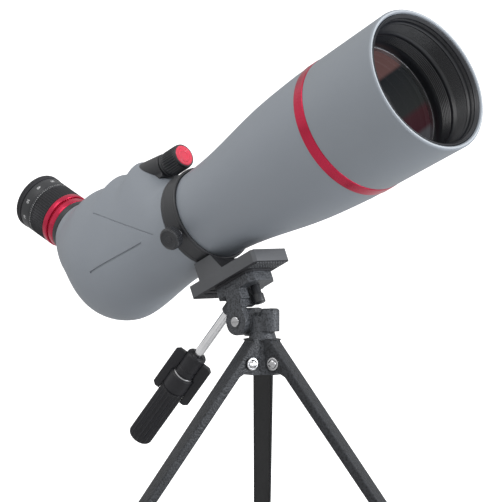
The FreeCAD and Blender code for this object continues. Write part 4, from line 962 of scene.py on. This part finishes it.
def make_legs():
    """Pressed channel legs, near black on the faces inside the channel, with shoulders raised a little over the
    hub.
    """
    for side in SIDES:
        matrix = leg_frame(side)
        local = matrix.to_3x3().inverted()
        inverse = matrix.inverted()

        def outer_bend(point):
            """Whether a point lies on the long outer edges of the channel."""
            return (inverse @ point).z > CHANNEL_BEND * MM

        leg = softened("leg_" + side, "leg_channel_" + side, side + "_leg", "leg_paint", 0.4,
                       bends=outer_bend, bend_radius=1.9)
        leg.data.materials.append(PAINT["leg_inside"])
        down = matrix.to_3x3() @ Vector((1, 0, 0))
        for vertex in leg.data.vertices:
            if (inverse @ vertex.co).x < LEG_SHOULDER * MM:
                vertex.co -= down * LEG_CREST * MM
        # Faces inside the channel get the near-black leg_inside material.
        for face in leg.data.polygons:
            normal = local @ face.normal
            centre = (inverse @ face.center) / MM
            web = normal.z < -0.6 and centre.z > 3.0
            wall = normal.y * centre.y < 0 and abs(normal.y) > 0.6 and abs(centre.y) < 7.0
            if web or wall:
                face.material_index = 1
        softened("leg_tip_" + side, "leg_foot_" + side, side + "_leg", "black_rubber", 0.7)


# --- Screws and nuts

def add_turned(grid, outline, matrix, steps=48, shape=None):
    """Turned form on a local X axis, added to a bmesh."""
    part = bmesh.new()
    turned(part, outline, steps, shape, closed=False)
    bmesh.ops.remove_doubles(part, verts=part.verts, dist=WELD_GAP)
    part.transform(matrix)
    mesh = bpy.data.meshes.new("part")
    part.to_mesh(mesh)
    part.free()
    grid.from_mesh(mesh)
    bpy.data.meshes.remove(mesh)


def domed(start, radius, height, rim):
    """Outline of a domed head that starts at a station and rises along X."""
    points = [(start, 0), (start, radius - 0.2), (start + 0.2, radius), (start + rim, radius)]
    arc = 8
    for i in range(1, arc):
        angle = math.pi / 2 * i / arc
        points.append((start + rim + (height - rim) * math.sin(angle), radius * math.cos(angle)))
    return points + [(start + height, 0)]


def hexed(radius, across):
    """Shape for turned(): a hexagon of a width across flats, where the radius would pass it."""
    def shape(x, wanted, angle):
        turn = (angle + math.pi / 6) % (math.pi / 3) - math.pi / 6
        return min(wanted, across / 2 / math.cos(turn)) if wanted > radius else wanted
    return shape


def world_piece(name, grid, body, replaces):
    """Steel piece from a bmesh whose millimetres already stand in the row frame."""
    return new_piece(name, mesh_from(grid, name, Matrix.Identity(4)), body, "bright_steel",
                     replaces, 35)


def make_hub_fasteners():
    """Domed, slotted screws through the leg pivots, with slotted sleeve nuts on the far side."""
    forms = {"leg_screws": bmesh.new(), "leg_nuts": bmesh.new()}
    slots = {"leg_screws": bmesh.new(), "leg_nuts": bmesh.new()}
    half = 7.35
    radius = 3.8
    height = 2.0
    shank_radius = 2.0
    slot_side = 0.55
    slot_long = 6
    ring = [(half, 0), (half, radius + 0.5), (half + 0.5, radius + 0.5),
            (half + 0.7, radius + 0.2), (half + 0.7, radius - 0.6), (half + 0.5, radius - 0.8),
            (half + 0.5, 0)]
    dome = domed(half + 0.4, radius - 0.9, height, 0.5)
    end = half + 0.1
    shank = [(-end, 0), (-end, shank_radius), (end, shank_radius), (end, 0)]
    for side in SIDES:
        pivot, across = leg_pivot(side)
        for node, heading in (("leg_screws", -1), ("leg_nuts", 1)):
            matrix = axes_frame(pivot / MM, across * heading, (0, 0, 1))
            add_turned(forms[node], ring, matrix)
            add_turned(forms[node], dome, matrix)
            box_into(slots[node], matrix, (half + height - 0.6, -slot_long, -slot_side),
                     (half + height + 2, slot_long, slot_side))
        add_turned(forms["leg_screws"], shank, axes_frame(pivot / MM, across, (0, 0, 1)), 24)
    for node, grid in forms.items():
        piece = world_piece(node.replace("leg", "pivot"), grid, "tripod_base", [node])
        carve(piece, mesh_from(slots[node], "slots", Matrix.Identity(4)))


def make_head_fasteners():
    """Tilt screw with a domed, slotted head, and its hexagon nut."""
    place = Vector(JOINTS["tilt"]["pos_m"]) / MM
    axis = Vector(JOINTS["tilt"]["axis"])
    near = 13.6
    tip = -12.6
    shank = 2.4
    grid = bmesh.new()
    spin = axes_frame(place, -axis, (0, 0, 1))
    add_turned(grid, domed(near, 3.6, 1.9, 0.7), spin)
    add_turned(grid, [(tip, 0), (tip, shank - 0.3), (tip + 0.4, shank), (near + 0.1, shank),
                      (near + 0.1, 0)], spin, 32)
    piece = world_piece("tilt_axle", grid, "platform", ["tilt_screw"])
    slot = bmesh.new()
    box_into(slot, spin, (near + 0.9, -6, -0.6), (near + 4, 6, 0.6))
    carve(piece, mesh_from(slot, "slot", Matrix.Identity(4)))
    grid = bmesh.new()
    far = 8.6
    flats = 8.0
    corner = 4.7
    face = 3.9
    outline = [(far, shank), (far, face), (far + 0.4, corner), (far + 2.6, corner),
               (far + 3.0, face), (far + 3.0, shank), (far, shank)]
    add_turned(grid, outline, axes_frame(place, axis, (0, 0, 1)), 72, hexed(shank + 0.1, flats))
    world_piece("tilt_hex_nut", grid, "platform", ["tilt_nut"])


# --- Pan handle

def make_rod():
    """Bright rod of the handle, and the thin collar between its socket and its grip."""
    back, front, radius = reach("handle_rod", HANDLE)
    lathe("handle_steel_rod", [(back, 0), (back, radius - 0.4), (back + 0.4, radius),
                               (front, radius), (front, 0)],
          HANDLE, "pan_handle", "chrome_rod", ["handle_rod"], 64, fillet=0.2, closed=False)
    rod = radius
    back, front, radius = reach("handle_ferrule", HANDLE)
    lathe("handle_bright_collar", [(back, rod), (back, radius), (front, radius), (front, rod)],
          HANDLE, "pan_handle", "bright_steel", ["handle_ferrule"], 96, fillet=0.2)
    return rod


def make_socket(bore):
    """Socket round the rod, with a prong on each side of its mouth."""
    grid = bmesh.new()
    first = 38.0
    last = reach("handle_ferrule", HANDLE)[0]
    radius = 7.1
    groove = radius - 0.4
    barrel = rounded([(first, bore), (first, radius - 1.2), (first + 1.2, radius),
                      (last - 6.0, radius), (last - 5.6, groove), (last - 5.0, groove),
                      (last - 4.6, radius), (last, radius), (last, bore)], 0.5)
    add_turned(grid, barrel + [barrel[0]], Matrix.Identity(4), 96)
    tip = first - 1.0
    prong_radius = 1.9
    prong_across = 4.2
    prong = [(tip, 0), (tip, 1.1), (tip + 0.4, 1.6), (first, prong_radius),
             (first + 3.0, prong_radius), (first + 3.0, 0)]
    for side in (-1, 1):
        add_turned(grid, prong, Matrix.Translation((0, side * prong_across, 0)), 32)
    mesh = mesh_from(grid, "handle_socket_moulding", HANDLE)
    new_piece("handle_socket_moulding", mesh, "pan_handle", "handle_black", ["handle_socket"])


def make_grip(bore):
    """Fluted grip with a rounded end and a plain sleeve in front of its seam."""
    back, front, sleeve = reach("handle_grip", HANDLE)
    grip = 8.8
    seam = 70.0
    round_off = 3.4
    round_start = front - round_off
    outline = [(front, 0), (front, grip - round_off)]
    arc = 6
    for i in range(1, arc + 1):
        angle = math.pi / 2 * i / arc
        outline.append((round_start + round_off * math.cos(angle),
                        grip - round_off + round_off * math.sin(angle)))
    outline += [(x, grip) for x in between(round_start, seam + 1.6, 25)[1:-1]]
    outline += [(seam + 1.4, grip), (seam + 0.9, grip - 0.9), (seam + 0.3, grip - 0.9),
                (seam - 0.2, sleeve), (back + 0.8, sleeve), (back, sleeve - 0.8), (back, bore)]
    ribs = 18
    shape = flutes(ribs, 1.0, seam + 1.5, front - round_off * 0.6, grip - 1.5, 0.6)
    lathe("handle_grip_moulding", outline, HANDLE, "pan_handle", "handle_black", ["handle_grip"],
          ribs * 10, shape, fillet=0, closed=False, sharp=35)


def make_handle():
    """Pan handle."""
    bore = make_rod() + 0.02
    make_socket(bore)
    make_grip(bore)


make_hood()
make_lip()
make_sleeve()
make_trim()
make_red_ring()
make_zoom_ring()
make_band()
make_eyecup()
make_focus_wheel()
make_collar()
make_thumb_knob()
make_housing()
make_castings()
make_saddle()
make_foot_tread()
make_legs()
make_hub_fasteners()
make_head_fasteners()
make_handle()


# --- Stage, light and camera

def stage_backdrop():
    """Pale floor that sweeps up into a backdrop."""
    low = cad_box[0][2]
    mesh = bpy.data.meshes.new("backdrop")
    grid = bmesh.new()
    half = 14.0
    bend = 2.0
    profile = [(-half, low), (half - bend, low)]
    steps = 12
    for step in range(1, steps + 1):
        angle = math.pi / 2 * step / steps
        profile.append((half - bend + bend * math.sin(angle), low + bend * (1 - math.cos(angle))))
    profile.append((half, low + 10.0))
    rows = []
    for across in (-half, half):
        rows.append([grid.verts.new((across, along, up)) for along, up in profile])
    for i in range(len(profile) - 1):
        grid.faces.new((rows[0][i], rows[0][i + 1], rows[1][i + 1], rows[1][i]))
    grid.to_mesh(mesh)
    grid.free()
    backdrop = bpy.data.objects.new("backdrop", mesh)
    backdrop.rotation_euler = (0, 0, math.radians(44.7))
    bpy.context.scene.collection.objects.link(backdrop)
    n = Nodes("backdrop_paper")
    paper = n.mix(n.noise(3.0), (0.58, 0.58, 0.58), (0.62, 0.62, 0.62))
    seen = n.tree.nodes.new("ShaderNodeLightPath").outputs["Is Camera Ray"]
    mesh.materials.append(n.finish(Base_Color=paper, Roughness=0.9,
                                   Emission_Color=(1.0, 1.0, 1.0, 1.0), Emission_Strength=seen))


def area_light(name, place, target, width, height, power, colour=(1, 1, 1)):
    """Soft rectangular light aimed at a point."""
    data = bpy.data.lights.new(name, "AREA")
    data.shape = "RECTANGLE"
    data.size = width
    data.size_y = height
    data.energy = power
    data.color = colour
    light = bpy.data.objects.new(name, data)
    light.location = place
    aim = Vector(target) - Vector(place)
    light.rotation_euler = aim.to_track_quat("-Z", "Y").to_euler()
    bpy.context.scene.collection.objects.link(light)


VIEW_AZIMUTH = math.radians(44.69)
VIEW_ELEVATION = math.radians(1.41)
VIEW_DISTANCE = 2385.5 * MM
VIEW_SENSOR = 36.0
VIEW_LENS = 251.0
TARGET_RIGHT = 27.1 * MM
TARGET_DOWN = 25.1 * MM
SURROUND_STRENGTH = 0.84
KEY_POWER = 10.5
FILL_POWER = 46.0
FILL_COLOUR = (0.93, 0.96, 1.0)
RIGHT = Vector((math.cos(VIEW_AZIMUTH), math.sin(VIEW_AZIMUTH), 0))
BACK = Vector((math.sin(VIEW_AZIMUTH) * math.cos(VIEW_ELEVATION),
               -math.cos(VIEW_AZIMUTH) * math.cos(VIEW_ELEVATION), math.sin(VIEW_ELEVATION)))
ABOVE = BACK.cross(RIGHT)


def set_camera():
    """Camera at the photo's angle; gives back the point it looks at."""
    data = bpy.data.cameras.new("camera")
    data.sensor_fit = "VERTICAL"
    data.sensor_height = VIEW_SENSOR
    data.lens = VIEW_LENS
    data.clip_end = 100.0
    camera = bpy.data.objects.new("camera", data)
    target = TUBE.translation + RIGHT * TARGET_RIGHT - ABOVE * TARGET_DOWN
    matrix = Matrix((RIGHT, ABOVE, BACK)).transposed().to_4x4()
    matrix.translation = target + BACK * VIEW_DISTANCE
    camera.matrix_world = matrix
    bpy.context.scene.collection.objects.link(camera)
    bpy.context.scene.camera = camera
    return target


def set_lights(target):
    """Even white surround with a soft key above and to the left, and a fill from the right."""
    world = bpy.data.worlds.new("surround")
    world.use_nodes = True
    background = world.node_tree.nodes["Background"]
    background.inputs["Color"].default_value = (1, 1, 1, 1)
    background.inputs["Strength"].default_value = SURROUND_STRENGTH
    bpy.context.scene.world = world
    key = target - RIGHT * 0.7 + ABOVE * 1.5 + BACK * 0.8
    fill = target + RIGHT * 1.9 + ABOVE * 0.4 + BACK * 1.0
    area_light("key", key, target, 1.4, 1.0, KEY_POWER)
    area_light("fill", fill, target, 1.0, 1.4, FILL_POWER, FILL_COLOUR)


stage_backdrop()
set_lights(set_camera())
bpy.context.scene.view_settings.view_transform = "Standard"
